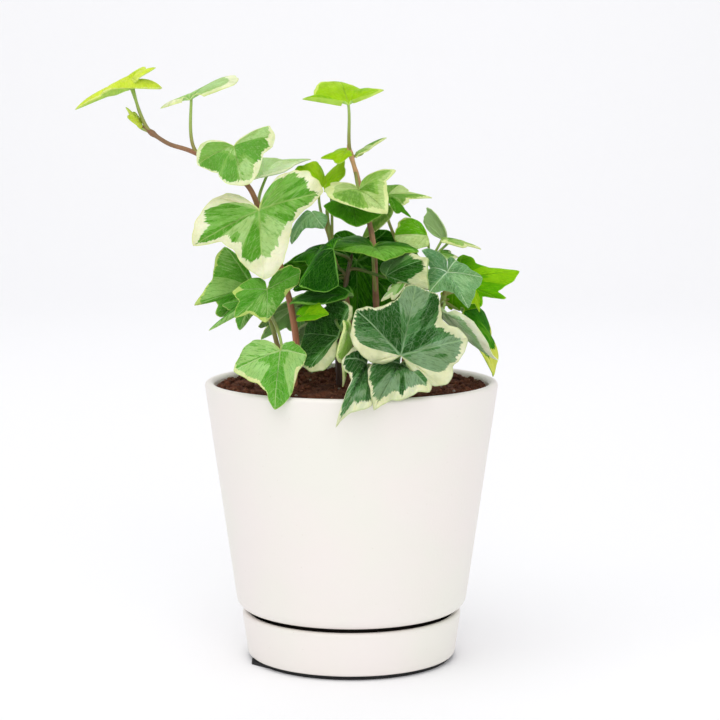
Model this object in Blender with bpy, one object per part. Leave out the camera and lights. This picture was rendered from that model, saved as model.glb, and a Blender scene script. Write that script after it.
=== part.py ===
"""Potted English ivy: leafy stems in soil, in a tapered glazed pot that stands in a saucer on a non-slip pad.

Metres, +Z up. The origin is on the pot's axis, on the surface that the pad lies on, and -Y is the front.
"""

import math
from collections import namedtuple

import bmesh
import bpy
from mathutils import Matrix, Vector

MM = 0.001

# Turned parts, in millimetres
SEGMENTS = 40
TOUCH = 0.3

PAD_RADIUS = 40.7
PAD_THICK = 1.2
TAB_REACH = 3.2
TAB_AT_DEG = 202.5
TAB_HALF_DEG = 12

SAUCER_FOOT_RADIUS = 42.6
SAUCER_RIM_RADIUS = 45.2
SAUCER_TOP = 19.6
SAUCER_WALL = 3.6
SAUCER_FLOOR = 4.2
SAUCER_FOOT_FILLET = 1.2
SAUCER_RIM_FILLET = 1.6
SAUCER_INNER_FILLET = 2.5

POT_RIM_RADIUS = 60.0
POT_HEIGHT = 114.5
POT_LOW_RADIUS = 46.7
POT_UNDERSIDE = 21.0
POT_WALL = 4.0
POT_FLOOR = 5.0
FOOT_RING = (33.0, 37.0)
DRAIN_RADIUS = 6.0
LIP_FILLET = 1.9
LOW_EDGE_FILLET = 5.0
INNER_FILLET = 5.0

SOIL_BELOW_RIM = 2.4
SOIL_MOUND = 1.2
SOIL_LUMP = 0.8
SOIL_GAP = 0.45
SOIL_RINGS = 5
SOIL_CHAMFER = 4.0

# Leafy stems, in millimetres
ROOT_LOW = 98.0
HOLE_GAP = 0.4
HOLE_SIDES = 8
STEM_SIDES = 6
STEM_STEPS = 3
PETIOLE_SIDES = 4
PETIOLE_STEPS = 4
PETIOLE_RADII = (0.75, 0.6)
PETIOLE_SUNK = 1.6
BLADE_THICK = 0.7

# A blade's edge, as (degrees from the midrib, reach), from the middle lobe's tip to the sinus at the base.
# A side lobe's tip is at LOBE_DEG with reach 1. Each half is skewed until that tip is at the leaf's own.
# A leaf that shows well has an edge of its own for each half.
LOBE_DEG = 60
FORMS = {
    "broad": (
        (0, 1), (14, 0.84), (30, 0.68), (45, 0.84), (60, 1), (78, 0.86), (104, 0.62), (134, 0.46),
        (164, 0.22),
    ),
    "round": (
        (0, 1), (13, 0.92), (30, 0.82), (46, 0.9), (60, 1), (77, 0.8), (102, 0.52), (132, 0.36), (164, 0.2),
    ),
    "shallow": (
        (0, 1), (14, 0.8), (30, 0.62), (46, 0.82), (60, 1), (76, 0.76), (100, 0.46), (130, 0.3),
        (160, 0.18),
    ),
    "pointed": (
        (0, 1), (12, 0.7), (28, 0.46), (46, 0.68), (60, 1), (74, 0.68), (90, 0.54), (110, 0.66),
        (150, 0.28),
    ),
    "young": (
        (0, 1), (31, 0.72), (60, 1), (92, 0.46), (150, 0.18),
    ),
    "heart": (
        (0, 1), (30, 0.9), (60, 1), (94, 0.7), (142, 0.3),
    ),
    "arching_big_left": (
        (0, 1), (8, 1.08), (15, 1.06), (20, 0.94), (28, 0.82), (37, 0.71), (47, 0.76), (53, 0.91),
        (60, 1), (68, 0.9), (81, 0.73), (100, 0.56), (117, 0.46), (133, 0.38), (144, 0.25), (152, 0.12),
    ),
    "arching_big_right": (
        (0, 1), (9, 0.92), (20, 0.81), (32, 0.69), (49, 0.68), (54, 0.83), (60, 1), (67, 0.97),
        (77, 0.88), (89, 0.75), (105, 0.63), (122, 0.5), (133, 0.34), (138, 0.15),
    ),
    "arching_cream_left": (
        (0, 1), (10, 1.19), (17, 1.23), (25, 1.14), (34, 1.07), (39, 1.26), (47, 1.23), (60, 1),
        (65, 0.74), (69, 0.47), (73, 0.27),
    ),
    "arching_cream_right": (
        (0, 1), (10, 1.03), (20, 1.04), (29, 0.98), (34, 0.87), (45, 0.92), (60, 1), (72, 0.92),
        (88, 0.74), (102, 0.53), (110, 0.33),
    ),
    "front_wide_left": (
        (0, 1), (10, 0.99), (15, 0.85), (21, 0.79), (34, 0.78), (44, 0.79), (52, 0.92), (60, 1),
        (69, 0.95), (80, 0.9), (88, 0.8), (97, 0.66), (108, 0.51), (121, 0.33), (132, 0.14),
    ),
    "front_wide_right": (
        (0, 1), (11, 1), (19, 1.03), (24, 0.95), (29, 0.9), (35, 0.8), (43, 0.82), (50, 0.95), (60, 1),
        (69, 0.95), (77, 0.86), (84, 0.75), (93, 0.78), (104, 0.74), (114, 0.65), (123, 0.51),
        (130, 0.33), (134, 0.15),
    ),
    "front_low_left": (
        (0, 1), (4, 0.87), (22, 0.78), (41, 0.84), (60, 1), (64, 0.73), (69, 0.45), (75, 0.22),
    ),
    "front_low_right": (
        (0, 1), (6, 0.91), (16, 0.71), (28, 0.53), (43, 0.62), (53, 0.89), (60, 1), (70, 0.85),
        (92, 0.5), (130, 0.3),
    ),
    "front_middle_left": (
        (0, 1), (7, 0.89), (17, 0.81), (30, 0.85), (38, 0.83), (51, 0.82), (60, 1), (65, 0.97),
        (70, 0.7), (75, 0.42), (84, 0.17),
    ),
    "front_middle_right": (
        (0, 1), (14, 0.95), (34, 0.94), (48, 0.96), (60, 1), (68, 0.93), (78, 0.8), (100, 0.55), (130, 0.3),
    ),
    "left_low_left": (
        (0, 1), (16, 1.11), (28, 1.11), (35, 1.01), (44, 0.91), (53, 1.01), (60, 1), (69, 0.69),
        (80, 0.44), (105, 0.2), (139, 0.08),
    ),
    "left_low_right": (
        (0, 1), (8, 0.91), (14, 0.76), (30, 0.76), (45, 0.85), (60, 1), (67, 0.94), (73, 0.85),
        (82, 0.76), (97, 0.58), (108, 0.39), (122, 0.18),
    ),
    "left_star_left": (
        (0, 1), (11, 0.99), (20, 0.93), (39, 0.9), (46, 1.1), (60, 1), (86, 0.65), (120, 0.46),
        (144, 0.33), (164, 0.17),
    ),
    "left_star_right": (
        (0, 1), (20, 0.79), (42, 0.72), (52, 0.88), (60, 1), (71, 0.94), (86, 0.76), (102, 0.89),
        (109, 1.01), (120, 0.88), (136, 0.74), (151, 0.54), (166, 0.32),
    ),
    "left_outer_left": (
        (0, 1), (4, 0.83), (9, 0.66), (27, 0.67), (60, 1), (69, 0.86), (76, 0.62), (84, 0.32),
    ),
    "left_outer_right": (
        (0, 1), (14, 0.87), (26, 0.81), (39, 0.88), (50, 1.01), (60, 1), (66, 0.76), (73, 0.48),
        (81, 0.23),
    ),
    "right_star_left": (
        (0, 1), (17, 0.92), (35, 0.85), (60, 1), (76, 0.7), (105, 0.5), (125, 0.5), (143, 0.37),
    ),
    "right_star_right": (
        (0, 1), (6, 0.82), (15, 0.59), (39, 0.64), (60, 1), (78, 0.71), (112, 0.45), (143, 0.57),
        (151, 0.75), (170, 0.72), (195, 0.59), (211, 0.43),
    ),
    "right_lime_left": (
        (0, 1), (9, 0.86), (22, 0.7), (41, 0.7), (52, 0.92), (60, 1), (64, 0.9), (67, 0.7), (73, 0.36),
    ),
    "right_lime_right": (
        (0, 1), (16, 0.9), (36, 0.77), (47, 0.73), (56, 1), (61, 0.82), (68, 0.66), (84, 0.96),
        (98, 0.95), (116, 0.73), (139, 0.36),
    ),
    "tall_cream_left": (
        (0, 1), (13, 0.9), (30, 0.76), (49, 0.69), (53, 0.84), (60, 1), (72, 0.81), (89, 0.51),
        (103, 0.28),
    ),
    "tall_cream_right": (
        (0, 1), (12, 1.18), (21, 1.31), (29, 1.35), (37, 1.38), (47, 1.35), (60, 1), (84, 0.56),
        (129, 0.3), (163, 0.18),
    ),
    "middle_low_left": (
        (0, 1), (17, 1.01), (38, 1.02), (60, 1), (82, 0.84), (95, 0.66), (106, 0.45), (110, 0.24),
    ),
    "middle_low_right": (
        (0, 1), (12, 1.22), (24, 1.38), (38, 1.42), (49, 1.31), (60, 1), (70, 0.68), (78, 0.36),
    ),
    "tall_crown_left": (
        (0, 1), (11, 1.05), (21, 1.08), (29, 1.01), (38, 0.91), (48, 0.81), (60, 1), (61, 0.7),
        (62, 0.4), (69, 0.16),
    ),
    "tall_crown_right": (
        (0, 1), (6, 0.96), (13, 0.89), (25, 0.8), (33, 0.74), (45, 0.85), (60, 1), (63, 0.79),
        (65, 0.51), (67, 0.29), (74, 0.12),
    ),
    "tall_under_left": (
        (0, 1), (12, 0.99), (29, 0.93), (48, 0.94), (60, 1), (70, 0.89), (80, 0.62),
    ),
    "tall_under_right": (
        (0, 1), (10, 1.03), (24, 1), (36, 1.05), (46, 1.05), (60, 1), (65, 0.8), (70, 0.46),
    ),
    "tall_folded_left": (
        (0, 1), (20, 1.03), (37, 1.05), (49, 1.03), (60, 1), (68, 0.88), (73, 0.59),
    ),
    "tall_folded_right": (
        (0, 1), (28, 1.08), (32, 1), (46, 0.97), (60, 1), (68, 0.75), (75, 0.47),
    ),
    "middle_drooping_left": (
        (0, 1), (20, 1), (40, 1.02), (60, 1), (62, 0.72), (63, 0.42), (64, 0.18),
    ),
    "middle_drooping_right": (
        (0, 1), (23, 0.94), (38, 0.92), (52, 0.98), (60, 1), (74, 0.9), (88, 0.7), (112, 0.46),
        (157, 0.29),
    ),
    "tall_flat_left": (
        (0, 1), (12, 0.91), (32, 0.8), (50, 0.73), (60, 1), (85, 0.76), (116, 0.62), (134, 0.45),
        (136, 0.22),
    ),
    "tall_flat_right": (
        (0, 1), (7, 0.88), (14, 0.81), (29, 0.68), (46, 0.75), (54, 0.87), (60, 1), (103, 0.63),
        (148, 0.75), (166, 0.84), (173, 0.66), (176, 0.38),
    ),
    "middle_star_left": (
        (0, 1), (17, 0.9), (40, 0.93), (60, 1), (74, 0.88), (89, 0.82), (98, 0.58), (103, 0.22),
    ),
    "middle_star_right": (
        (0, 1), (15, 0.89), (38, 0.86), (60, 1), (61, 0.81), (62, 0.65), (63, 0.48), (85, 0.42),
        (91, 0.22),
    ),
    "right_narrow_left": (
        (0, 1), (24, 1), (41, 1.06), (50, 1.02), (60, 1), (66, 0.81), (68, 0.51),
    ),
    "right_narrow_right": (
        (0, 1), (13, 0.98), (20, 0.9), (27, 0.83), (29, 0.64), (39, 0.61), (60, 1), (66, 0.98),
        (67, 0.54),
    ),
    "right_dark_left": (
        (0, 1), (15, 1.05), (29, 1.11), (35, 1.08), (37, 0.93), (49, 0.99), (60, 1), (65, 0.66),
        (70, 0.3),
    ),
    "right_dark_right": (
        (0, 1), (31, 1.09), (41, 1.08), (47, 1.01), (60, 1), (74, 1.02), (79, 0.64),
    ),
    "middle_long_left": (
        (0, 1), (39, 1), (60, 1), (69, 0.81), (76, 0.52),
    ),
    "middle_long_right": (
        (0, 1), (22, 0.97), (37, 0.95), (49, 0.97), (60, 1), (68, 0.95), (74, 0.77), (78, 0.46),
    ),
    "arching_wing_left": (
        (0, 1), (5, 0.6), (20, 0.32), (40, 0.45), (52, 0.75), (60, 1), (68, 0.6), (96, 0.14),
    ),
    "arching_wing_right": (
        (0, 1), (5, 1.15), (60, 1), (80, 1.16), (89, 0.84), (99, 0.49),
    ),
    "slender_grey_left": (
        (0, 1), (6, 0.86), (7, 0.64), (20, 0.56), (46, 0.71), (60, 1), (70, 0.88), (82, 0.68),
        (86, 0.31),
    ),
    "slender_grey_right": (
        (0, 1), (23, 1), (46, 1.07), (60, 1), (72, 0.78), (83, 0.45),
    ),
    "back_lime_left": (
        (0, 1), (16, 1.12), (27, 1.04), (45, 0.99), (60, 1), (72, 0.83), (83, 0.74), (89, 0.43),
    ),
    "back_lime_right": (
        (0, 1), (24, 0.95), (43, 1), (60, 1), (70, 0.91), (79, 0.74), (87, 0.53), (88, 0.29),
    ),
    "back_pale_left": (
        (0, 1), (25, 1), (44, 1), (60, 1), (68, 0.84), (75, 0.58), (79, 0.28),
    ),
    "back_pale_right": (
        (0, 1), (15, 0.86), (46, 0.92), (60, 1), (74, 1.02), (80, 0.87), (84, 0.54), (85, 0.23),
    ),
}

Leaf = namedtuple("Leaf", "along base tip left right form arch")


def leaf(along, base, tip, left, right, form, arch=0.05):
    """A leaf: where on the stem its stalk starts (0 to 1), its blade's base, and its three lobes' tips."""
    return Leaf(along, Vector(base), Vector(tip), Vector(left), Vector(right), form, arch)


# Each stem: its radius at the root and at the tip, its route above the soil, and its leaves.
STEMS = {
    "ivy_stem_arching": {
        "radii": (1.5, 0.8),
        "route": [
            (-23, -14, 117), (-22, -14, 130), (-24, -14, 145), (-27, -13, 157), (-31, -13, 171),
            (-36, -14, 183), (-41, -14, 194), (-51, -14, 202), (-64, -14, 208), (-73, -13, 211),
            (-82, -12, 217),
        ],
        "leaves": [
            leaf(0.97, (-87, -13, 235), (-84, 4, 241), (-95, -11, 234), (-78, -9, 241), "young"),
            leaf(0.99, (-87, -12, 233), (-93, -30, 232), (-76, -8, 233), (-109, -14, 225), "young", 0.14),
            leaf(1.0, (-84, -13, 218), (-89, -15, 225), (-88, -17, 221), (-86, -9, 223), "young"),
            leaf(0.78, (-64, -12, 228), (-53, 10, 236), (-76, -10, 225), (-46, -12, 235), "arching_wing"),
            leaf(0.66, (-46, -22, 210), (-42, -32, 195), (-32, -18, 218), (-60, -24, 203), "arching_cream"),
            leaf(0.5, (-35, 2, 198), (-17, 10, 204), (-37, 12, 205), (-27, -10, 200), "round"),
            leaf(0.52, (-36, -26, 185), (-34, -34, 159), (-11, -22, 192), (-62, -22, 171), "arching_big"),
        ],
    },
    "ivy_stem_tall": {
        "radii": (1.5, 0.8),
        "route": [
            (11, 6, 117), (11, 6, 132), (10, 5, 147), (9, 4, 169), (6, 3, 184), (4, 2, 192),
            (1, 1, 202), (-1, 0, 209),
        ],
        "leaves": [
            leaf(0.99, (-1, -4, 226), (-5, 20, 236), (-20, 8, 229), (13, 10, 232), "tall_crown"),
            leaf(0.98, (-2, -1, 207), (-12, -8, 205), (-5, -12, 203), (-6, 8, 208), "young"),
            leaf(0.93, (4, 4, 207), (14, 12, 213), (7, 16, 209), (7, -6, 208), "young"),
            leaf(0.84, (3, -5, 192), (14, -21, 184), (18, -5, 200), (-10, -14, 192), "tall_cream"),
            leaf(0.72, (0, 2, 188), (2, -13, 178), (14, -6, 184), (-11, -4, 186), "tall_under"),
            leaf(0.6, (15, 4, 187), (4, 13, 171), (15, 5, 180), (10, 14, 180), "tall_folded"),
            leaf(0.64, (16, 0, 188), (24, 0, 181), (21, 2, 185), (18, -3, 183), "young"),
            leaf(0.33, (9, -7, 169), (13, -26, 165), (27, -14, 168), (-8, -10, 169), "tall_flat"),
        ],
    },
    "ivy_stem_slender": {
        "radii": (1.3, 0.7),
        "route": [(0, 8, 121), (-1, 8, 138), (-3, 8, 154), (-7, 8, 163), (-9, 8, 173), (-10, 8, 183)],
        "leaves": [
            leaf(0.6, (-10, 8, 194), (-3, 13, 204), (-9, 17, 199), (-3, 2, 198), "heart"),
            leaf(0.75, (-12, 6, 193), (-15, 14, 203), (-23, 6, 200), (-12, 18, 200), "heart"),
            leaf(0.9, (-16, 0, 183), (-24, -8, 171), (-11, -8, 177), (-23, 2, 178), "slender_grey"),
        ],
    },
    "ivy_stem_right_back": {
        "radii": (1.3, 0.7),
        "route": [(22, 18, 120), (23, 18, 137), (23, 16, 150), (21, 14, 162), (19, 13, 170)],
        "leaves": [
            leaf(0.99, (15, 16, 189), (33, 20, 188), (21, 30, 193), (21, 8, 186), "shallow"),
            leaf(0.35, (31, 8, 173), (18, 8, 173), (26, 2, 168), (22, 14, 180), "back_lime"),
            leaf(0.4, (38, 10, 171), (31, 14, 184), (37, 6, 179), (30, 16, 178), "back_pale"),
            leaf(0.45, (39, 4, 171), (53, 8, 168), (46, 14, 170), (45, -4, 169), "young"),
            leaf(0.3, (36, 2, 166), (43, -2, 165), (40, 6, 167), (41, -8, 163), "young"),
        ],
    },
    "ivy_stem_right": {
        "radii": (1.3, 0.7),
        "route": [(30, -2, 118), (33, -2, 131), (36, -2, 143), (38, -3, 151)],
        "leaves": [
            leaf(0.99, (38, -20, 160), (46, -28, 147), (52, -22, 158), (31, -28, 153), "right_star"),
            leaf(0.95, (43, 8, 154), (68, 4, 159), (46, 14, 165), (62, 0, 147), "right_lime"),
            leaf(0.8, (44, 4, 144), (58, -8, 118), (55, 12, 141), (49, -12, 132), "right_dark"),
            leaf(0.7, (36, -16, 146), (57, -30, 126), (47, -34, 141), (41, -8, 138), "right_narrow"),
            leaf(0.9, (49, 0, 151), (52, -4, 143), (53, 4, 147), (48, -6, 147), "young"),
            leaf(0.88, (42, 14, 147), (36, 10, 144), (41, 5, 143), (37, 15, 149), "young"),
        ],
    },
    "ivy_stem_front": {
        "radii": (1.3, 0.7),
        "route": [(17, -20, 113), (17, -22, 121), (18, -24, 127)],
        "leaves": [
            leaf(0.99, (19, -47, 130), (25, -38, 156), (2, -49, 148), (45, -43, 136), "front_wide"),
            leaf(0.8, (6, -44, 126), (-5, -73, 107), (8, -65, 113), (-3, -52, 129), "front_low"),
            leaf(0.6, (19, -41, 126), (9, -66, 112), (30, -61, 118), (7, -52, 126), "front_middle"),
        ],
    },
    "ivy_stem_left": {
        "radii": (1.3, 0.7),
        "route": [(-27, -8, 117), (-30, -8, 130), (-33, -9, 142), (-35, -10, 149)],
        "leaves": [
            leaf(0.99, (-40, -8, 153), (-62, -18, 147), (-52, -16, 142), (-51, -4, 169), "left_outer"),
            leaf(0.95, (-33, -30, 154), (-33, -36, 142), (-20, -22, 160), (-45, -38, 144), "left_star"),
            leaf(0.8, (-40, -18, 148), (-56, -26, 138), (-44, -26, 138), (-51, -18, 147), "pointed"),
            leaf(0.6, (-27, -48, 132), (-29, -58, 111), (-17, -48, 130), (-45, -46, 124), "left_low"),
        ],
    },
    "ivy_stem_middle": {
        "radii": (1.3, 0.7),
        "route": [(-5, -10, 114), (-5, -10, 130), (-4, -9, 144), (-2, -7, 156), (0, -5, 165)],
        "leaves": [
            leaf(0.99, (-7, -18, 169), (-20, -34, 156), (-5, -32, 156), (-15, -16, 166), "middle_drooping"),
            leaf(0.85, (14, -14, 158), (30, -28, 166), (21, -8, 167), (30, -30, 154), "middle_star"),
            leaf(0.8, (-13, -6, 168), (-23, -16, 164), (-16, -20, 163), (-18, -2, 168), "young"),
            leaf(0.7, (1, -12, 150), (-24, -24, 148), (-11, -28, 149), (-12, -2, 154), "middle_long"),
            leaf(0.55, (-5, -26, 135), (-19, -15, 135), (-17, -30, 122), (0, -24, 147), "middle_low"),
            leaf(0.75, (-7, -6, 157), (-23, -14, 153), (-14, -10, 149), (-16, -6, 159), "broad"),
            leaf(0.5, (-19, -30, 143), (-9, -34, 145), (-14, -26, 149), (-14, -38, 143), "heart"),
            leaf(0.4, (-2, -40, 139), (-3, -46, 118), (0, -36, 130), (-5, -46, 130), "young"),
            leaf(0.3, (21, -20, 156), (12, -24, 149), (17, -26, 150), (15, -16, 154), "young"),
        ],
    },
    "ivy_stem_back": {
        "radii": (1.3, 0.7),
        "route": [(-6, 30, 110), (-6, 31, 122), (-7, 33, 138), (-5, 33, 152), (0, 32, 160)],
        "leaves": [
            leaf(0.99, (6, 27, 168), (16, 38, 150), (28, 28, 163), (-6, 36, 160), "broad"),
            leaf(0.98, (-10, 28, 163), (-24, 36, 148), (0, 40, 150), (-30, 24, 158), "broad"),
            leaf(0.99, (-4, 42, 156), (-5, 63, 143), (-22, 48, 150), (14, 50, 151), "broad"),
            leaf(0.8, (-22, 38, 142), (-39, 52, 126), (-40, 34, 134), (-22, 54, 130), "broad"),
            leaf(0.8, (14, 42, 140), (31, 55, 126), (12, 58, 131), (33, 38, 134), "broad"),
            leaf(0.55, (-9, 48, 131), (-12, 64, 112), (-26, 54, 122), (7, 56, 122), "broad"),
            leaf(0.5, (20, 36, 130), (36, 43, 120), (22, 50, 121), (36, 27, 125), "broad"),
            leaf(0.9, (2, 14, 162), (3, 14, 130), (22, 13, 144), (-12, 15, 147), "heart"),
        ],
    },
}

COLOURS = {
    "pad_rubber": ((0.02, 0.02, 0.02, 1), 0.8),
    "cream_glaze": ((0.86, 0.83, 0.78, 1), 0.3),
    "potting_soil": ((0.07, 0.035, 0.02, 1), 0.95),
    "ivy_green": ((0.12, 0.33, 0.08, 1), 0.45),
}


def clear_scene():
    for obj in list(bpy.data.objects):
        bpy.data.objects.remove(obj)


def make_material(name):
    colour, roughness = COLOURS[name]
    material = bpy.data.materials.new(name)
    material.use_nodes = True
    shader = material.node_tree.nodes["Principled BSDF"]
    shader.inputs["Base Color"].default_value = colour
    shader.inputs["Roughness"].default_value = roughness
    shader.inputs["Metallic"].default_value = 0.0
    return material


def add_object(name, bm, material):
    """An object in the scene from a bmesh in millimetres."""
    bmesh.ops.recalc_face_normals(bm, faces=bm.faces)
    bmesh.ops.scale(bm, vec=(MM, MM, MM), verts=bm.verts)
    mesh = bpy.data.meshes.new(name)
    bm.to_mesh(mesh)
    bm.free()
    mesh.materials.append(material)
    obj = bpy.data.objects.new(name, mesh)
    bpy.context.scene.collection.objects.link(obj)
    return obj


def shade_smooth(obj, sharp_deg=40):
    obj.data.shade_smooth()
    obj.data.set_sharp_from_angle(angle=math.radians(sharp_deg))


def apply_modifiers(obj):
    graph = bpy.context.evaluated_depsgraph_get()
    applied = bpy.data.meshes.new_from_object(obj.evaluated_get(graph))
    obj.modifiers.clear()
    obj.data = applied


def cut(obj, cutter):
    modifier = obj.modifiers.new("cut", "BOOLEAN")
    modifier.operation = "DIFFERENCE"
    modifier.solver = "EXACT"
    modifier.object = cutter
    bpy.context.view_layer.update()
    apply_modifiers(obj)
    bpy.data.objects.remove(cutter)


# The turned parts


def rounded(corners, steps=2):
    """The profile through (radius, height, fillet) corners, each fillet as a short arc."""
    profile = []
    count = len(corners)
    for i, (r, z, fillet) in enumerate(corners):
        corner = Vector((r, z))
        if not fillet:
            profile.append(corner)
            continue
        back = (Vector(corners[i - 1][:2]) - corner).normalized()
        ahead = (Vector(corners[(i + 1) % count][:2]) - corner).normalized()
        half = back.angle(ahead) / 2
        centre = corner + (back + ahead).normalized() * (fillet / math.sin(half))
        start = corner + back * (fillet / math.tan(half)) - centre
        end = corner + ahead * (fillet / math.tan(half)) - centre
        turn = start.angle_signed(end)
        for k in range(steps + 1):
            angle = -turn * k / steps
            profile.append(centre + Matrix.Rotation(angle, 2) @ start)
    return profile


def turned(name, corners, material, closed=False):
    """A solid of revolution about Z. An open profile starts and ends on the axis."""
    bm = bmesh.new()
    points = rounded(corners)
    verts = [bm.verts.new((p.x, 0, p.y)) for p in points]
    edges = [bm.edges.new(pair) for pair in zip(verts, verts[1:])]
    if closed:
        edges.append(bm.edges.new((verts[-1], verts[0])))
    bmesh.ops.spin(
        bm, geom=verts + edges, cent=(0, 0, 0), axis=(0, 0, 1), angle=math.tau, steps=SEGMENTS, use_merge=True
    )
    bmesh.ops.remove_doubles(bm, verts=bm.verts, dist=1e-4)
    obj = add_object(name, bm, material)
    shade_smooth(obj)
    return obj


def make_pad(material):
    """The round non-slip pad, with the corner by which it is pulled off."""
    bm = bmesh.new()
    outline = []
    for k in range(2 * SEGMENTS):
        degrees = 360 * k / (2 * SEGMENTS)
        off_tab = abs(degrees - TAB_AT_DEG) / TAB_HALF_DEG
        radius = PAD_RADIUS + TAB_REACH * max(0.0, 1 - off_tab)
        angle = math.radians(degrees)
        outline.append(bm.verts.new((radius * math.cos(angle), radius * math.sin(angle), 0)))
    face = bm.faces.new(outline)
    raised = bmesh.ops.extrude_face_region(bm, geom=[face])
    top = [v for v in raised["geom"] if isinstance(v, bmesh.types.BMVert)]
    bmesh.ops.translate(bm, vec=(0, 0, PAD_THICK), verts=top)
    return add_object("nonslip_pad", bm, material)


def make_saucer(material):
    underside = PAD_THICK + TOUCH
    floor = underside + SAUCER_FLOOR
    return turned(
        "saucer",
        [
            (0, underside, 0),
            (SAUCER_FOOT_RADIUS, underside, SAUCER_FOOT_FILLET),
            (SAUCER_RIM_RADIUS, SAUCER_TOP, SAUCER_RIM_FILLET),
            (SAUCER_RIM_RADIUS - SAUCER_WALL, SAUCER_TOP, SAUCER_RIM_FILLET),
            (SAUCER_FOOT_RADIUS - SAUCER_WALL, floor, SAUCER_INNER_FILLET),
            (0, floor, 0),
        ],
        material,
    )


def pot_inner_radius(z):
    """The radius of the pot's inner wall at a height."""
    lean = (POT_RIM_RADIUS - POT_LOW_RADIUS) / (POT_HEIGHT - POT_UNDERSIDE)
    return POT_RIM_RADIUS - POT_WALL - (POT_HEIGHT - z) * lean


def make_pot(material):
    """The pot: a tapered wall, a floor with a drain hole, and a foot ring that stands in the saucer."""
    ring_in, ring_out = FOOT_RING
    ring_bottom = PAD_THICK + TOUCH + SAUCER_FLOOR + TOUCH
    floor = POT_UNDERSIDE + POT_FLOOR
    return turned(
        "pot",
        [
            (DRAIN_RADIUS, POT_UNDERSIDE, 0),
            (ring_in, POT_UNDERSIDE, 0),
            (ring_in, ring_bottom, 0),
            (ring_out, ring_bottom, 0),
            (ring_out, POT_UNDERSIDE, 0),
            (POT_LOW_RADIUS, POT_UNDERSIDE, LOW_EDGE_FILLET),
            (POT_RIM_RADIUS, POT_HEIGHT, LIP_FILLET),
            (POT_RIM_RADIUS - POT_WALL, POT_HEIGHT, LIP_FILLET),
            (pot_inner_radius(floor), floor, INNER_FILLET),
            (DRAIN_RADIUS, floor, 0),
        ],
        material,
        closed=True,
    )


def soil_height(share, angle):
    """The soil's surface: a low mound with lumps that fade out at the pot's wall."""
    mound = SOIL_MOUND * (1 - share * share)
    lumps = math.sin(3 * angle + 5 * share) + math.cos(5 * angle - 7 * share)
    return POT_HEIGHT - SOIL_BELOW_RIM + mound + SOIL_LUMP * lumps * share * (1 - share)


def make_soil(material):
    """The soil that fills the pot, with a plain hole for each stem's root."""
    bm = bmesh.new()
    floor = POT_UNDERSIDE + POT_FLOOR + TOUCH
    edge = POT_HEIGHT - SOIL_BELOW_RIM
    levels = [
        (edge, pot_inner_radius(edge) - SOIL_GAP),
        (floor + SOIL_CHAMFER, pot_inner_radius(floor + SOIL_CHAMFER) - SOIL_GAP),
        (floor, pot_inner_radius(floor) - SOIL_GAP - SOIL_CHAMFER),
    ]
    rings = []
    for k in range(1, SOIL_RINGS + 1):
        share = k / SOIL_RINGS
        rings.append([(share * levels[0][1], soil_height(share, a)) for a in ring_angles()])
    rings += [[(radius, z)] * SEGMENTS for z, radius in levels[1:]]
    loops = []
    for ring in rings:
        spots = [(r * math.cos(a), r * math.sin(a), z) for (r, z), a in zip(ring, ring_angles())]
        loops.append([bm.verts.new(spot) for spot in spots])
    crown = bm.verts.new((0, 0, soil_height(0, 0)))
    for inner, outer in zip(loops, loops[1:]):
        for k in range(SEGMENTS):
            nxt = (k + 1) % SEGMENTS
            bm.faces.new((inner[k], outer[k], outer[nxt]))
            bm.faces.new((inner[k], outer[nxt], inner[nxt]))
    for k in range(SEGMENTS):
        bm.faces.new((crown, loops[0][k], loops[0][(k + 1) % SEGMENTS]))
    bm.faces.new(loops[-1])
    soil = add_object("soil", bm, material)
    for stem in STEMS.values():
        x, y, _ = stem["route"][0]
        radius = stem["radii"][0] + HOLE_GAP
        low = ROOT_LOW - HOLE_GAP
        middle = Matrix.Translation((x, y, (low + POT_HEIGHT) / 2))
        depth = POT_HEIGHT - low
        hole = bmesh.new()
        bmesh.ops.create_cone(
            hole, cap_ends=True, segments=HOLE_SIDES, radius1=radius, radius2=radius, depth=depth,
            matrix=middle,
        )
        cut(soil, add_object("root_hole", hole, material))
    return soil


def ring_angles():
    return [math.tau * k / SEGMENTS for k in range(SEGMENTS)]


# The leafy stems


def smooth_route(points, steps):
    """Points along a Catmull-Rom curve through the given ones."""
    points = [Vector(p) for p in points]
    padded = [2 * points[0] - points[1], *points, 2 * points[-1] - points[-2]]
    route = []
    for a, b, c, d in zip(padded, padded[1:], padded[2:], padded[3:]):
        for k in range(steps):
            t = k / steps
            curve = (2 * a - 5 * b + 4 * c - d) * t**2 + (3 * b - a - 3 * c + d) * t**3
            route.append(0.5 * (2 * b + (c - a) * t + curve))
    return [*route, points[-1]]


def tube(route, radii, sides):
    """A closed tube along the route, whose radius runs from the first of radii to the second."""
    bm = bmesh.new()
    across = (route[1] - route[0]).orthogonal().normalized()
    rings = []
    for i, point in enumerate(route):
        ahead = (route[min(i + 1, len(route) - 1)] - route[max(i - 1, 0)]).normalized()
        across = (across - ahead * across.dot(ahead)).normalized()
        radius = radii[0] + (radii[1] - radii[0]) * i / (len(route) - 1)
        spokes = [Matrix.Rotation(math.tau * k / sides, 3, ahead) @ across for k in range(sides)]
        rings.append([bm.verts.new(point + spoke * radius) for spoke in spokes])
    for low, high in zip(rings, rings[1:]):
        for k in range(sides):
            bm.faces.new((low[k], low[(k + 1) % sides], high[(k + 1) % sides], high[k]))
    bm.faces.new(rings[0][::-1])
    bm.faces.new(rings[-1])
    return bm


def leaf_up(row):
    """The way out of the blade's upper face."""
    middle = row.tip - row.base
    right_half = (row.right - row.base).cross(middle).normalized()
    left_half = middle.cross(row.left - row.base).normalized()
    return (right_half + left_half).normalized()


def half_edge(row, side):
    """The edge of the blade's left or right half: its own, or the one that both halves share."""
    return FORMS.get(f"{row.form}_{side}") or FORMS[row.form]


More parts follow.
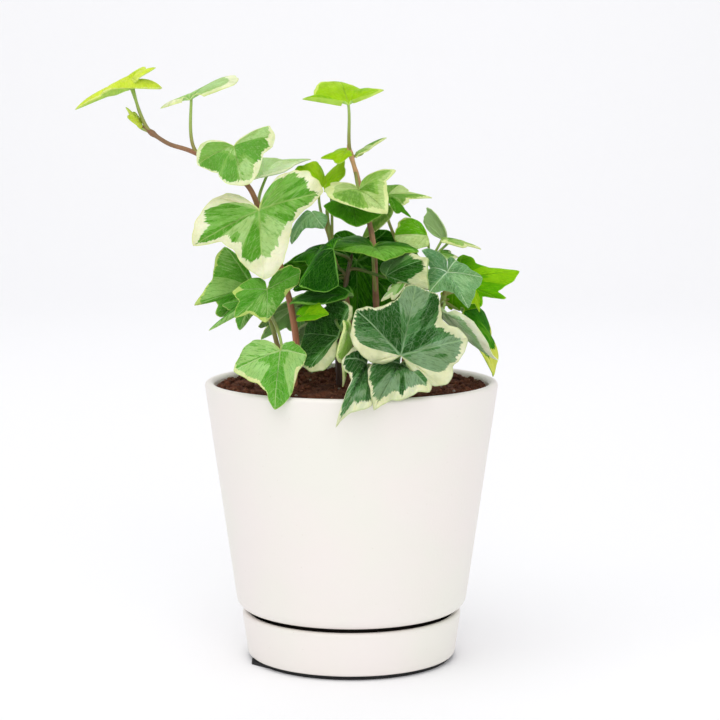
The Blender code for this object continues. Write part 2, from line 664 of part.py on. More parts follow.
def edge_angles(row):
    """Every edge point's angle from the midrib, round the blade. The left half's are negative."""
    left = [-degrees for degrees, _ in half_edge(row, "left")]
    right = [degrees for degrees, _ in half_edge(row, "right")]
    return left[:0:-1] + right


def blade_point(row, degrees, share):
    """A point of the blade's middle surface: an angle from the midrib, a share of the way to the edge."""
    half = half_edge(row, "left" if degrees < 0 else "right")
    reach = dict(half)[abs(degrees)] * share
    middle = row.tip - row.base
    side = (row.left if degrees < 0 else row.right) - row.base
    angle = math.radians(abs(degrees))
    lobe = math.radians(LOBE_DEG)
    flat = middle * (math.sin(lobe - angle) / math.sin(lobe)) + side * (math.sin(angle) / math.sin(lobe))
    return row.base + flat * reach + leaf_up(row) * (4 * row.arch * share * (1 - share) * middle.length)


def make_blade(row, material):
    """A thin closed blade: rings of triangles round its base, thickened equally to both faces."""
    bm = bmesh.new()
    angles = edge_angles(row)
    base = bm.verts.new(row.base)
    inner = [bm.verts.new(blade_point(row, a, 0.5)) for a in angles]
    outer = [bm.verts.new(blade_point(row, a, 1.0)) for a in angles]
    for k in range(len(angles) - 1):
        bm.faces.new((base, inner[k], inner[k + 1]))
        bm.faces.new((inner[k], outer[k], outer[k + 1]))
        bm.faces.new((inner[k], outer[k + 1], inner[k + 1]))
    obj = add_object("blade", bm, material)
    thicken = obj.modifiers.new("thicken", "SOLIDIFY")
    thicken.thickness = BLADE_THICK * MM
    thicken.offset = 0
    bpy.context.view_layer.update()
    apply_modifiers(obj)
    return obj


def petiole_route(row, start, heading):
    """The leaf stalk's curve from the stem to a little way inside the blade."""
    chord = (row.tip - row.base).normalized()
    end = row.base + chord * PETIOLE_SUNK
    span = (end - start).length
    first = start + heading * span * 0.25
    last = end - (chord * 0.6 + leaf_up(row) * 0.8) * span * 0.35
    route = []
    for k in range(PETIOLE_STEPS + 1):
        t = k / PETIOLE_STEPS
        bend = first * 3 * t * (1 - t) ** 2 + last * 3 * t * t * (1 - t)
        route.append(start * (1 - t) ** 3 + bend + end * t**3)
    return route


def make_leafy_stem(name, stem, material):
    """One leafy stem as a single solid: its blades and petioles are joined to it."""
    x, y, _ = stem["route"][0]
    route = smooth_route([(x, y, ROOT_LOW), *stem["route"]], STEM_STEPS)
    obj = add_object(name, tube(route, stem["radii"], STEM_SIDES), material)
    grown = bpy.data.collections.new(name + "_grown")
    bpy.context.scene.collection.children.link(grown)
    above = route[STEM_STEPS:]
    for row in stem["leaves"]:
        at = min(int(row.along * (len(above) - 1)), len(above) - 2)
        heading = (above[at + 1] - above[at]).normalized()
        stalk = tube(petiole_route(row, above[at], heading), PETIOLE_RADII, PETIOLE_SIDES)
        for part in (add_object("petiole", stalk, material), make_blade(row, material)):
            bpy.context.scene.collection.objects.unlink(part)
            grown.objects.link(part)
    join = obj.modifiers.new("join", "BOOLEAN")
    join.operation = "UNION"
    join.solver = "MANIFOLD"
    join.operand_type = "COLLECTION"
    join.collection = grown
    bpy.context.view_layer.update()
    apply_modifiers(obj)
    for part in list(grown.objects):
        bpy.data.objects.remove(part)
    bpy.data.collections.remove(grown)
    return obj


def main():
    clear_scene()
    rubber, glaze, soil, green = (make_material(name) for name in COLOURS)
    make_pad(rubber)
    make_saucer(glaze)
    make_pot(glaze)
    make_soil(soil)
    for name, stem in STEMS.items():
        make_leafy_stem(name, stem, green)


main()
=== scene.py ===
import math
import random

import bmesh
import bpy
from mathutils import Matrix, Vector


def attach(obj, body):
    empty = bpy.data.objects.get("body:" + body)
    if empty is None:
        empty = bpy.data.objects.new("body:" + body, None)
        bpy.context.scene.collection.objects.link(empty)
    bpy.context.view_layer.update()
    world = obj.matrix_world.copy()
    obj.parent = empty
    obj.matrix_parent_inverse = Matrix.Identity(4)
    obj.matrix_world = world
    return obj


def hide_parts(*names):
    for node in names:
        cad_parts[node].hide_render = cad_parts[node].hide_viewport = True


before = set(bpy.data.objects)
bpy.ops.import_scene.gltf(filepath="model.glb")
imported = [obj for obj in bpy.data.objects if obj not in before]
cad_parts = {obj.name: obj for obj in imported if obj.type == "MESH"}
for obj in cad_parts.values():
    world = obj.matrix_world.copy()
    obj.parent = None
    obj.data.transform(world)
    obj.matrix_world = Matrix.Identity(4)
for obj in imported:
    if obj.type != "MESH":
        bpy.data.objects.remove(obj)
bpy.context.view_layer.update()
mm = 0.001


# Small helpers for modelling

def selectNothing():
    if bpy.context.object and bpy.context.object.mode != "OBJECT":
        bpy.ops.object.mode_set(mode="OBJECT")
    bpy.ops.object.select_all(action="DESELECT")


def workOn(obj):
    selectNothing()
    obj.select_set(True)
    bpy.context.view_layer.objects.active = obj


def editAll(obj):
    workOn(obj)
    bpy.ops.object.mode_set(mode="EDIT")
    bpy.ops.mesh.select_all(action="SELECT")


def leaveEdit():
    bpy.ops.object.mode_set(mode="OBJECT")


def settle(obj):
    # the object ends at the origin, with its place in its mesh
    workOn(obj)
    bpy.ops.object.transform_apply(location=True, rotation=True, scale=True)


def applyModifiers(obj):
    workOn(obj)
    for name in [m.name for m in obj.modifiers]:
        bpy.ops.object.modifier_apply(modifier=name)


def joinAll(objects, name):
    selectNothing()
    for obj in objects:
        obj.select_set(True)
    bpy.context.view_layer.objects.active = objects[0]
    bpy.ops.object.join()
    joined = bpy.context.object
    joined.name = name
    joined.data.name = name
    return joined


def pickFaces(obj, wanted):
    # selects the faces that the test accepts, in edit mode
    bpy.ops.mesh.select_all(action="DESELECT")
    bpy.ops.mesh.select_mode(type="FACE")
    inEdit = bmesh.from_edit_mesh(obj.data)
    for face in inEdit.faces:
        face.select_set(wanted(face.calc_center_median(), face.normal))
    bmesh.update_edit_mesh(obj.data)


def pickRing(obj, radius, height, slack=0.1 * mm):
    # selects the edges of one circle about the pot's axis, in edit mode
    bpy.ops.mesh.select_all(action="DESELECT")
    bpy.ops.mesh.select_mode(type="EDGE")
    inEdit = bmesh.from_edit_mesh(obj.data)
    for edge in inEdit.edges:
        spots = [v.co for v in edge.verts]
        edge.select_set(all(
            abs(math.hypot(p.x, p.y) - radius) < slack and abs(p.z - height) < slack for p in spots
        ))
    bmesh.update_edit_mesh(obj.data)


def copyOf(obj, name):
    twin = bpy.data.objects.new(name, obj.data.copy())
    bpy.context.scene.collection.objects.link(twin)
    return twin


def discard(obj):
    bpy.data.objects.remove(obj)


# Small helpers for materials

def srgb(red, green, blue):
    # a colour as an image editor gives it, 0 to 255, made linear
    def linear(value):
        value /= 255
        return value / 12.92 if value <= 0.04045 else ((value + 0.055) / 1.055) ** 2.4
    return (linear(red), linear(green), linear(blue), 1)


def feed(tree, socket, value):
    # an output of another node is linked, and a plain value is set
    if isinstance(value, bpy.types.NodeSocket):
        tree.links.new(value, socket)
    else:
        socket.default_value = value


def feedAll(tree, sockets, values):
    for name, value in values.items():
        feed(tree, sockets[name], value)


def addNode(tree, kind, inputs=None, **settings):
    made = tree.nodes.new(kind)
    for name, value in settings.items():
        setattr(made, name, value)
    feedAll(tree, made.inputs, inputs or {})
    return made


def calc(tree, operation, first, second=None, third=None, clamp=False):
    inputs = {k: value for k, value in enumerate((first, second, third)) if value is not None}
    made = addNode(tree, "ShaderNodeMath", inputs, operation=operation, use_clamp=clamp)
    return made.outputs[0]


def vectorCalc(tree, operation, first, second):
    # the second input is a number for a scale, and otherwise a vector
    socket = "Scale" if operation == "SCALE" else 1
    made = addNode(tree, "ShaderNodeVectorMath", {0: first, socket: second}, operation=operation)
    return made.outputs[0]


def combine(tree, *parts):
    return addNode(tree, "ShaderNodeCombineXYZ", dict(enumerate(parts))).outputs[0]


def splitUp(tree, vector):
    return addNode(tree, "ShaderNodeSeparateXYZ", {0: vector}).outputs


def noise(tree, place, scale, detail, roughness=0.5, distortion=0.0):
    return addNode(tree, "ShaderNodeTexNoise", {
        "Vector": place, "Scale": scale, "Detail": detail, "Roughness": roughness, "Distortion": distortion,
    }).outputs


def bumpOf(tree, height, strength, distance):
    inputs = {"Height": height, "Strength": strength, "Distance": distance}
    return addNode(tree, "ShaderNodeBump", inputs).outputs[0]


def blendColour(tree, factor, first, second, kind="MIX"):
    # the sockets' numbers are those of a Mix node for colours
    inputs = {0: factor, 6: first, 7: second}
    made = addNode(tree, "ShaderNodeMix", inputs, data_type="RGBA", blend_type=kind)
    return made.outputs[2]


def ramp(tree, value, low, high, start=0.0, end=1.0):
    # value between low and high becomes a smooth step between start and end
    inputs = {"Value": value, "From Min": low, "From Max": high, "To Min": start, "To Max": end}
    made = addNode(tree, "ShaderNodeMapRange", inputs, interpolation_type="SMOOTHSTEP")
    return made.outputs["Result"]


def newGroup(name, inputs, outputs):
    # an input without a value is a place, and every other input and output is a number
    group = bpy.data.node_groups.new(name, "ShaderNodeTree")
    for label, value in inputs.items():
        kind = "NodeSocketVector" if value is None else "NodeSocketFloat"
        socket = group.interface.new_socket(name=label, in_out="INPUT", socket_type=kind)
        if value is not None:
            socket.default_value = value
    for label in outputs:
        group.interface.new_socket(name=label, in_out="OUTPUT", socket_type="NodeSocketFloat")
    entry = group.nodes.new("NodeGroupInput")
    result = group.nodes.new("NodeGroupOutput")
    return group, entry.outputs, result.inputs


def placeGroup(tree, group, inputs):
    return addNode(tree, "ShaderNodeGroup", inputs, node_tree=group).outputs


def newMaterial(name):
    # the material, its nodes and its shader's inputs
    made = bpy.data.materials.new(name)
    made.use_nodes = True
    return made, made.node_tree, made.node_tree.nodes["Principled BSDF"].inputs


def objectPlace(tree):
    return addNode(tree, "ShaderNodeTexCoord").outputs["Object"]


# The camera, as the photograph was taken: about 0.85 m in front of the pot's axis and 0.11 m above its rim,
# with a long lens
view = {
    "place": (0.0035, -0.845, 0.2223),
    "downDeg": 6.72,
    "lens": 104.2,
    "sensorWidth": 36,
    "nearClip": 0.05,
    "farClip": 50,
}

bpy.ops.object.camera_add(location=view["place"], rotation=(math.radians(90 - view["downDeg"]), 0, 0))
camera = bpy.context.object
camera.name = "productCamera"
camera.data.lens = view["lens"]
camera.data.sensor_width = view["sensorWidth"]
camera.data.clip_start = view["nearClip"]
camera.data.clip_end = view["farClip"]
bpy.context.scene.camera = camera
print("camera placed")


# The effects that more than one material uses

drift = {
    "cloudDetail": 3.0, "cloudRoughness": 0.55,
    "secondShift": (3.7, 1.9, 5.3),
    "fineDetail": 2.0,
}


def buildSoftMottle():
    # two slow drifts of tone, and a fine grain for bump
    group, entry, result = newGroup(
        "softMottle", {"Place": None, "Cloud Scale": 20.0, "Grain Scale": 400.0},
        ("Cloud", "Second Cloud", "Grain"),
    )
    place = entry["Place"]
    shifted = vectorCalc(group, "ADD", place, drift["secondShift"])
    cloud = noise(group, place, entry["Cloud Scale"], drift["cloudDetail"], drift["cloudRoughness"])
    feedAll(group, result, {
        "Cloud": cloud["Fac"],
        "Second Cloud": noise(group, shifted, entry["Cloud Scale"], drift["fineDetail"])["Fac"],
        "Grain": noise(group, place, entry["Grain Scale"], drift["fineDetail"])["Fac"],
    })
    return group


# Directions of a leaf's main veins from the midrib, in degrees, as on the flat leaf
veinDegrees = (0, 60, 112)

# The veins' widths and spacing, as shares of the midrib's length
veinForm = {
    "wanderScale": 4.0, "wanderDetail": 2.0, "wander": 0.035,
    "ribWidth": 0.028, "ribTaper": 0.018, "ribThinnest": 0.011, "ribEdge": 1.5,
    "sideSlant": 0.85, "sideStart": 0.04, "sideSpacing": 0.13, "spacingChance": 0.05,
    "sideWidth": 0.009, "sideTaper": 0.02, "sideThinnest": 0.0035, "sideFade": (0.2, 0.4),
    "netScale": 17.0, "netWander": 0.05, "netWidth": 0.11,
    "sideRelief": 0.6, "netRelief": 0.45,
    "streakSlant": 1.9, "streakLength": 0.6,
    "behindStalk": 9.0, "tie": 0.0001,
    "fieldStep": 2.7, "halfStep": 5.3,
}


def buildLeafVeins():
    # Place is the flat leaf's own: x across, y along the midrib, with the stalk at 0 and the tip at 1. Path
    # stays the same along a streak, Off is the way from the nearest main vein, and Field differs from vein to
    # vein.
    group, entry, result = newGroup(
        "leafVeins", {"Place": None, "Seed": 0.0},
        ("Ribs", "Side Veins", "Net", "Relief", "Path", "Off", "Field"),
    )
    form = veinForm
    wander = noise(group, entry["Place"], form["wanderScale"], form["wanderDetail"])["Color"]
    wander = vectorCalc(group, "SUBTRACT", wander, (0.5, 0.5, 0.5))
    placed = vectorCalc(group, "ADD", entry["Place"], vectorCalc(group, "SCALE", wander, form["wander"]))
    flat = splitUp(group, placed)
    across = calc(group, "ABSOLUTE", flat["X"])
    along = flat["Y"]
    ribs = 0.0
    offs = []
    for degrees in veinDegrees:
        sine = math.sin(math.radians(degrees))
        cosine = math.cos(math.radians(degrees))
        run = calc(group, "MULTIPLY", along, cosine)
        run = calc(group, "ADD", calc(group, "MULTIPLY", across, sine), run)
        beside = calc(group, "MULTIPLY", across, cosine)
        off = calc(group, "ABSOLUTE", calc(group, "SUBTRACT", beside, calc(group, "MULTIPLY", along, sine)))
        width = calc(group, "MULTIPLY_ADD", run, -form["ribTaper"], form["ribWidth"])
        width = calc(group, "MAXIMUM", width, form["ribThinnest"])
        away = calc(group, "DIVIDE", calc(group, "MULTIPLY", off, form["ribEdge"]), width)
        rib = calc(group, "SUBTRACT", form["ribEdge"], away, clamp=True)
        rib = calc(group, "MULTIPLY", rib, calc(group, "GREATER_THAN", run, 0.0))
        ribs = calc(group, "MAXIMUM", ribs, rib)
        behind = calc(group, "MULTIPLY", calc(group, "LESS_THAN", run, 0.0), form["behindStalk"])
        offs.append((run, calc(group, "ADD", off, behind)))
    nearest = offs[0][1]
    for run, off in offs[1:]:
        nearest = calc(group, "MINIMUM", nearest, off)
    alongRib = 0.0
    field = calc(group, "MULTIPLY", calc(group, "GREATER_THAN", flat["X"], 0.0), form["halfStep"])
    for number, (run, off) in enumerate(offs):
        mine = calc(group, "LESS_THAN", off, calc(group, "ADD", nearest, form["tie"]))
        alongRib = calc(group, "MULTIPLY_ADD", run, mine, alongRib)
        field = calc(group, "MULTIPLY_ADD", mine, form["fieldStep"] * number, field)
    streaked = calc(group, "MULTIPLY_ADD", nearest, -form["streakSlant"], alongRib)
    slanted = calc(group, "MULTIPLY_ADD", nearest, -form["sideSlant"], alongRib)
    spacing = calc(group, "MULTIPLY_ADD", entry["Seed"], form["spacingChance"], form["sideSpacing"])
    started = calc(group, "ADD", slanted, form["sideStart"])
    folded = calc(group, "PINGPONG", started, calc(group, "MULTIPLY", spacing, 0.5))
    sideWidth = calc(group, "MULTIPLY_ADD", nearest, -form["sideTaper"], form["sideWidth"])
    sideWidth = calc(group, "MAXIMUM", sideWidth, form["sideThinnest"])
    sides = calc(group, "SUBTRACT", 1.0, calc(group, "DIVIDE", folded, sideWidth), clamp=True)
    sides = calc(group, "MULTIPLY", sides, ramp(group, nearest, *form["sideFade"], 1.0, 0.0))
    netPlace = vectorCalc(group, "ADD", entry["Place"], vectorCalc(group, "SCALE", wander, form["netWander"]))
    cellsAt = {"Vector": netPlace, "Scale": form["netScale"]}
    cells = addNode(group, "ShaderNodeTexVoronoi", cellsAt, feature="DISTANCE_TO_EDGE")
    net = ramp(group, cells.outputs["Distance"], 0.0, form["netWidth"], 1.0, 0.0)
    relief = calc(group, "MAXIMUM", ribs, calc(group, "MULTIPLY", sides, form["sideRelief"]))
    relief = calc(group, "MAXIMUM", relief, calc(group, "MULTIPLY", net, form["netRelief"]))
    feedAll(group, result, {
        "Ribs": ribs, "Side Veins": sides, "Net": net, "Relief": relief,
        "Path": calc(group, "MULTIPLY", streaked, form["streakLength"]), "Off": nearest, "Field": field,
    })
    return group


# The noises in a leaf's colour are scale along and across a streak, detail and roughness
fingers = {
    "streak": (21.0, 6.5, 4.0, 0.6), "streakReach": 2.8,
    "fleck": (40.0, 17.0, 3.0, 0.65), "fleckReach": 0.7,
    "seedScale": 37.0,
    "creamBlur": 0.012,
    "toneReach": 0.75, "patchStart": 0.4, "patchFull": 0.54,
}


def buildLeafVariegation():
    # where a leaf is cream, and where it is paler or deeper, with borders that run out in fingers between the
    # side veins
    group, entry, result = newGroup(
        "leafVariegation",
        {
            "Path": 0.0, "Off": 0.0, "Field": 0.0, "Seed": 0.0, "Share": 0.0, "Cream From": 1.0, "Tone": 0.0,
            "Raggedness": 0.1,
        },
        ("Margin", "Pale Patch", "Deep Patch", "Streak", "Fleck"),
    )
    seed = calc(group, "MULTIPLY_ADD", entry["Seed"], fingers["seedScale"], entry["Field"])
    found = {}
    for kind in ("streak", "fleck"):
        longScale, wideScale, detail, roughness = fingers[kind]
        place = combine(
            group, calc(group, "MULTIPLY", entry["Path"], longScale),
            calc(group, "MULTIPLY", entry["Off"], wideScale), seed,
        )
        found[kind] = noise(group, place, 1.0, detail, roughness)["Fac"]
    finger = calc(group, "MULTIPLY", calc(group, "SUBTRACT", found["streak"], 0.5), fingers["streakReach"])
    centred = calc(group, "SUBTRACT", found["fleck"], 0.5)
    finger = calc(group, "MULTIPLY_ADD", centred, fingers["fleckReach"], finger)
    reached = calc(group, "MULTIPLY_ADD", finger, entry["Raggedness"], entry["Share"])
    past = calc(group, "SUBTRACT", reached, entry["Cream From"])
    shifted = calc(group, "MULTIPLY_ADD", finger, fingers["toneReach"], entry["Tone"])
    start = fingers["patchStart"]
    full = fingers["patchFull"]
    feedAll(group, result, {
        "Margin": ramp(group, past, -fingers["creamBlur"], fingers["creamBlur"]),
        "Pale Patch": ramp(group, shifted, start, full),
        "Deep Patch": ramp(group, shifted, -full, -start, 1.0, 0.0),
        "Streak": found["streak"], "Fleck": found["fleck"],
    })
    return group


softMottle = buildSoftMottle()
leafVeins = buildLeafVeins()
leafVariegation = buildLeafVariegation()
print("shared effects built")


def mottleAt(tree, place, cloudScale, grainScale):
    inputs = {"Place": place, "Cloud Scale": cloudScale, "Grain Scale": grainScale}
    return placeGroup(tree, softMottle, inputs)


# The ivy's leaf finishes. Each has a main colour, paler and deeper patches, a margin and a thin rim. On a
# leaf whose form has no marks of its own, creamShare is about how far the margin reaches in from the edge,
# and a patch's tone is picked from tones by chance. A look without these two is only on leaves with marks.
leafLooks = {
    "limePale": {
        "main": (218, 238, 70), "pale": (228, 242, 120), "deep": (190, 222, 30), "margin": (232, 242, 150),
        "creamShare": 0.05, "ragged": 0.05, "tones": (-0.5, 0, 0.5), "vein": (190, 220, 90), "veinShare": 0.5,
        "rim": (196, 224, 96),
    },
    "limeGreen": {
        "main": (98, 176, 6), "pale": (146, 204, 20), "deep": (82, 164, 2), "margin": (198, 226, 70),
        "creamShare": 0.0, "ragged": 0.03, "tones": (-0.4, 0, 0.6), "vein": (150, 206, 60), "veinShare": 0.5,
        "rim": (170, 212, 60),
    },
    "limeHalf": {
        "main": (104, 184, 10), "pale": (212, 236, 158), "deep": (92, 172, 4), "margin": (216, 232, 120),
        "ragged": 0.03, "vein": (170, 214, 90), "veinShare": 0.35, "rim": (196, 222, 90),
    },
    "lime": {
        "main": (158, 206, 8), "pale": (182, 218, 50), "deep": (128, 190, 2), "margin": (222, 240, 120),
        "creamShare": 0.0, "ragged": 0.03, "tones": (-0.4, 0, 0.4), "vein": (188, 222, 100),
        "veinShare": 0.45, "rim": (190, 222, 100),
    },
    "limeEdged": {
        "main": (144, 190, 82), "pale": (190, 216, 136), "deep": (100, 156, 48), "margin": (230, 240, 170),
        "creamShare": 0.14, "ragged": 0.07, "tones": (-1, 0, 0, 1), "vein": (206, 226, 150), "veinShare": 0.4,
        "rim": (214, 232, 150),
    },
    "creamEdged": {
        "main": (122, 180, 76), "pale": (172, 208, 130), "deep": (82, 150, 36), "margin": (242, 242, 206),
        "creamShare": 0.2, "ragged": 0.09, "tones": (-1, 0, 1), "vein": (176, 208, 120), "veinShare": 0.5,
        "rim": (226, 236, 150),
    },
    "creamLight": {
        "main": (130, 182, 82), "pale": (178, 214, 138), "deep": (98, 164, 58), "margin": (240, 245, 202),
        "creamShare": 0.18, "ragged": 0.07, "tones": (-1, 0, 1), "vein": (190, 218, 130), "veinShare": 0.45,
        "rim": (226, 240, 160),
    },
    "greyEdged": {
        "main": (74, 124, 66), "pale": (128, 160, 120), "deep": (28, 76, 18), "margin": (230, 232, 192),
        "creamShare": 0.14, "ragged": 0.08, "tones": (-1, 0, 1), "vein": (156, 190, 142), "veinShare": 0.75,
        "rim": (190, 204, 150),
    },
    "greyStriped": {
        "main": (168, 212, 150), "pale": (222, 240, 204), "deep": (112, 164, 96), "margin": (248, 252, 226),
        "ragged": 0.06, "vein": (206, 222, 192), "veinShare": 0.6, "rim": (226, 236, 190),
    },
    "greyGreen": {
        "main": (116, 168, 104), "pale": (152, 198, 138), "deep": (74, 126, 74), "margin": (168, 206, 160),
        "ragged": 0.04, "vein": (206, 234, 192), "veinShare": 1.0, "rim": (150, 194, 140),
    },
    "green": {
        "main": (100, 172, 54), "pale": (166, 212, 126), "deep": (74, 154, 38), "margin": (234, 238, 174),
        "creamShare": 0.03, "ragged": 0.05, "tones": (-0.6, 0, 0, 0.6), "vein": (190, 222, 150),
        "veinShare": 0.85, "rim": (186, 214, 120),
    },
    "mossGreen": {
        "main": (96, 166, 52), "pale": (152, 198, 108), "deep": (64, 142, 20), "margin": (206, 226, 126),
        "ragged": 0.06, "vein": (170, 210, 128), "veinShare": 0.8, "rim": (186, 212, 110),
    },
    "midGreen": {
        "main": (74, 146, 12), "pale": (126, 190, 70), "deep": (38, 104, 6), "margin": (206, 226, 130),
        "creamShare": 0.03, "ragged": 0.05, "tones": (-0.6, 0, 0.4), "vein": (142, 192, 96), "veinShare": 0.5,
        "rim": (160, 206, 90),
    },
    # partly painted shade: a real deep green, made darker still for the leaves inside the plant, on the
    # middle and back stems
    "deepGreen": {
        "main": (28, 94, 2), "pale": (70, 144, 16), "deep": (12, 66, 1), "margin": (132, 188, 80),
        "creamShare": 0.0, "ragged": 0.03, "tones": (-0.8, 0, 0.5), "vein": (112, 172, 80), "veinShare": 0.8,
        "rim": (120, 178, 70),
    },
    "darkEdged": {
        "main": (46, 108, 24), "pale": (104, 154, 82), "deep": (18, 68, 4), "margin": (232, 236, 186),
        "creamShare": 0.08, "ragged": 0.08, "tones": (-1, 0, 0), "vein": (150, 196, 132), "veinShare": 0.9,
        "rim": (150, 184, 100),
    },
    "yellowEdged": {
        "main": (50, 126, 12), "pale": (94, 160, 30), "deep": (30, 100, 6), "margin": (216, 224, 96),
        "ragged": 0.06, "vein": (112, 172, 60), "veinShare": 0.6, "rim": (170, 200, 70),
    },
    "paleGrey": {
        "main": (184, 218, 146), "pale": (210, 232, 176), "deep": (158, 206, 122), "margin": (232, 240, 196),
        "creamShare": 0.1, "ragged": 0.06, "tones": (-0.8, 0, 0.8), "vein": (204, 224, 184), "veinShare": 0.4,
        "rim": (200, 220, 170),
    },
}


# What all leaf finishes share. Four numbers are where a mask starts and ends in its noise or in the leaf, and
# its strength at either end.
leafFinish = {
    "seedShift": 9.0, "cloudScale": 4.0, "grainScale": 46.0,
    "deepShare": 0.92,
    "streaks": (0.52, 0.78, 0.0, 0.45),
    "darkFlecks": (0.52, 0.6, 0.0, 0.38),
    "paleFlecks": (0.39, 0.46, 0.3, 0.0),
    "paleCream": (0.35, 0.7, 0.0, 0.3),
    "rim": (0.006, 0.018, 0.7, 0.0),
    "drift": (0.25, 0.75, 0.88, 1.06),
    "sideVeins": 0.65, "veinNet": 0.18,
    "underside": (180, 222, 146), "undersideShare": 0.45, "undersideRoughness": 0.15,
    "roughness": (0.3, 0.7, 0.4, 0.52),
    "grainHeight": 0.3, "veinHeight": -0.45, "bumpStrength": 0.7, "bumpDistance": 0.0007,
    "shader": {
        "IOR": 1.28, "Specular IOR Level": 0.06,
        "Subsurface Weight": 0.22, "Subsurface Radius": (0.7, 1.0, 0.25), "Subsurface Scale": 0.0009,
    },
}

# How the flat leaf lies in its UV map: where its stalk is, and how long its midrib is
flatMap = {"stalk": (0.5, 0.35), "midrib": 0.5}


def leafMaterial(name, look):
    material, tree, shader = newMaterial(name)
    finish = leafFinish
    flat = addNode(tree, "ShaderNodeUVMap", uv_map="flatLeaf")
    x, y = flatMap["stalk"]
    scale = 1 / flatMap["midrib"]
    place = addNode(tree, "ShaderNodeMapping", {
        "Vector": flat.outputs[0], "Location": (-x * scale, -y * scale, 0), "Scale": (scale, scale, 1),
    }).outputs[0]
    marks = {}
    for mark in ("edgeGap", "edgeShare", "creamFrom", "tone", "leafSeed", "underside"):
        marks[mark] = addNode(tree, "ShaderNodeAttribute", attribute_name=mark).outputs["Fac"]
    under = marks["underside"]
    veins = placeGroup(tree, leafVeins, {"Place": place, "Seed": marks["leafSeed"]})
    pattern = placeGroup(tree, leafVariegation, {
        "Path": veins["Path"], "Off": veins["Off"], "Field": veins["Field"], "Seed": marks["leafSeed"],
        "Share": marks["edgeShare"], "Cream From": marks["creamFrom"], "Tone": marks["tone"],
        "Raggedness": look["ragged"],
    })
    shift = combine(tree, 0, 0, calc(tree, "MULTIPLY", marks["leafSeed"], finish["seedShift"]))
    mottle = mottleAt(tree, vectorCalc(tree, "ADD", place, shift), finish["cloudScale"], finish["grainScale"])
    veinMask = calc(tree, "MULTIPLY", veins["Side Veins"], finish["sideVeins"])
    veinMask = calc(tree, "MAXIMUM", veins["Ribs"], veinMask)
    veinMask = calc(tree, "MAXIMUM", veinMask, calc(tree, "MULTIPLY", veins["Net"], finish["veinNet"]))
    colour = srgb(*look["main"])
    for mask, tint in (
        (pattern["Pale Patch"], "pale"),
        (calc(tree, "MULTIPLY", pattern["Deep Patch"], finish["deepShare"]), "deep"),
        (ramp(tree, pattern["Streak"], *finish["streaks"]), "deep"),
        (ramp(tree, pattern["Fleck"], *finish["darkFlecks"]), "deep"),
        (ramp(tree, pattern["Fleck"], *finish["paleFlecks"]), "pale"),
        (calc(tree, "MULTIPLY", veinMask, look["veinShare"]), "vein"),
    ):
        colour = blendColour(tree, mask, colour, srgb(*look[tint]))
    paler = ramp(tree, mottle["Second Cloud"], *finish["paleCream"])
    cream = blendColour(tree, paler, srgb(*look["margin"]), srgb(*look["pale"]))
    colour = blendColour(tree, pattern["Margin"], colour, cream)
    colour = blendColour(tree, ramp(tree, marks["edgeGap"], *finish["rim"]), colour, srgb(*look["rim"]))
    tone = ramp(tree, mottle["Cloud"], *finish["drift"])
    blue = calc(tree, "MULTIPLY", tone, tone)
    tinted = addNode(tree, "ShaderNodeCombineColor", {0: tone, 1: tone, 2: blue})
    colour = blendColour(tree, 1.0, colour, tinted.outputs[0], "MULTIPLY")
    underShare = calc(tree, "MULTIPLY", under, finish["undersideShare"])
    colour = blendColour(tree, underShare, colour, srgb(*finish["underside"]))
    rough = ramp(tree, mottle["Second Cloud"], *finish["roughness"])
    veinHeight = calc(tree, "MULTIPLY", veins["Relief"], finish["veinHeight"])
    height = calc(tree, "MULTIPLY_ADD", mottle["Grain"], finish["grainHeight"], veinHeight)
    height = calc(tree, "MULTIPLY", height, calc(tree, "MULTIPLY_ADD", under, -2.0, 1.0))
    feedAll(tree, shader, {
        "Base Color": colour,
        "Roughness": calc(tree, "MULTIPLY_ADD", under, finish["undersideRoughness"], rough),
        "Normal": bumpOf(tree, height, finish["bumpStrength"], finish["bumpDistance"]),
        **finish["shader"],
    })
    return material


leafMaterials = {}
for lookName, look in leafLooks.items():
    leafMaterials[lookName] = leafMaterial("ivy" + lookName[0].upper() + lookName[1:], look)


stalkLooks = {
    "stemBark": {
        "low": (206, 134, 98), "high": (134, 102, 68), "streak": (142, 82, 56), "streakShare": 0.7,
    },
    # painted shade: the middle and back stems, inside the plant, are coloured darker for the shade of the
    # leaves around them
    "shadedInnerBark": {
        "low": (66, 36, 24), "high": (80, 66, 32), "streak": (50, 32, 24), "streakShare": 0.6,
    },
    "tallBark": {
        "low": (110, 54, 36), "high": (220, 166, 124), "streak": (122, 140, 60), "streakShare": 0.7,
    },
    "youngBark": {
        "low": (150, 96, 72), "high": (150, 172, 84), "streak": (122, 84, 52), "streakShare": 0.5,
    },
    "leafStalkGreen": {
        "low": (150, 142, 76), "high": (158, 188, 92), "streak": (116, 138, 60), "streakShare": 0.35,
    },
    # painted shade: the leaf stalks of the middle and back stems are coloured darker for the same shade
    "shadedInnerStalk": {
        "low": (88, 84, 36), "high": (84, 122, 42), "streak": (60, 78, 26), "streakShare": 0.35,
    },
}
stalkFinish = {
    "cloudScale": 90.0, "grainScale": 1500.0,
    "drift": 0.9, "driftEnds": (0.1, 0.9),
    "streakAlong": 9.0, "streakRound": 7.0, "streakScale": 2.0, "streakDetail": 4.0,
    "streakEnds": (0.5, 0.72),
    "roughness": (0.3, 0.7, 0.42, 0.6),
    "grainHeight": 0.4, "bumpStrength": 0.5, "bumpDistance": 0.0004,
    "shader": {"Subsurface Weight": 0.12, "Subsurface Radius": (0.8, 0.9, 0.3), "Subsurface Scale": 0.0008},
}


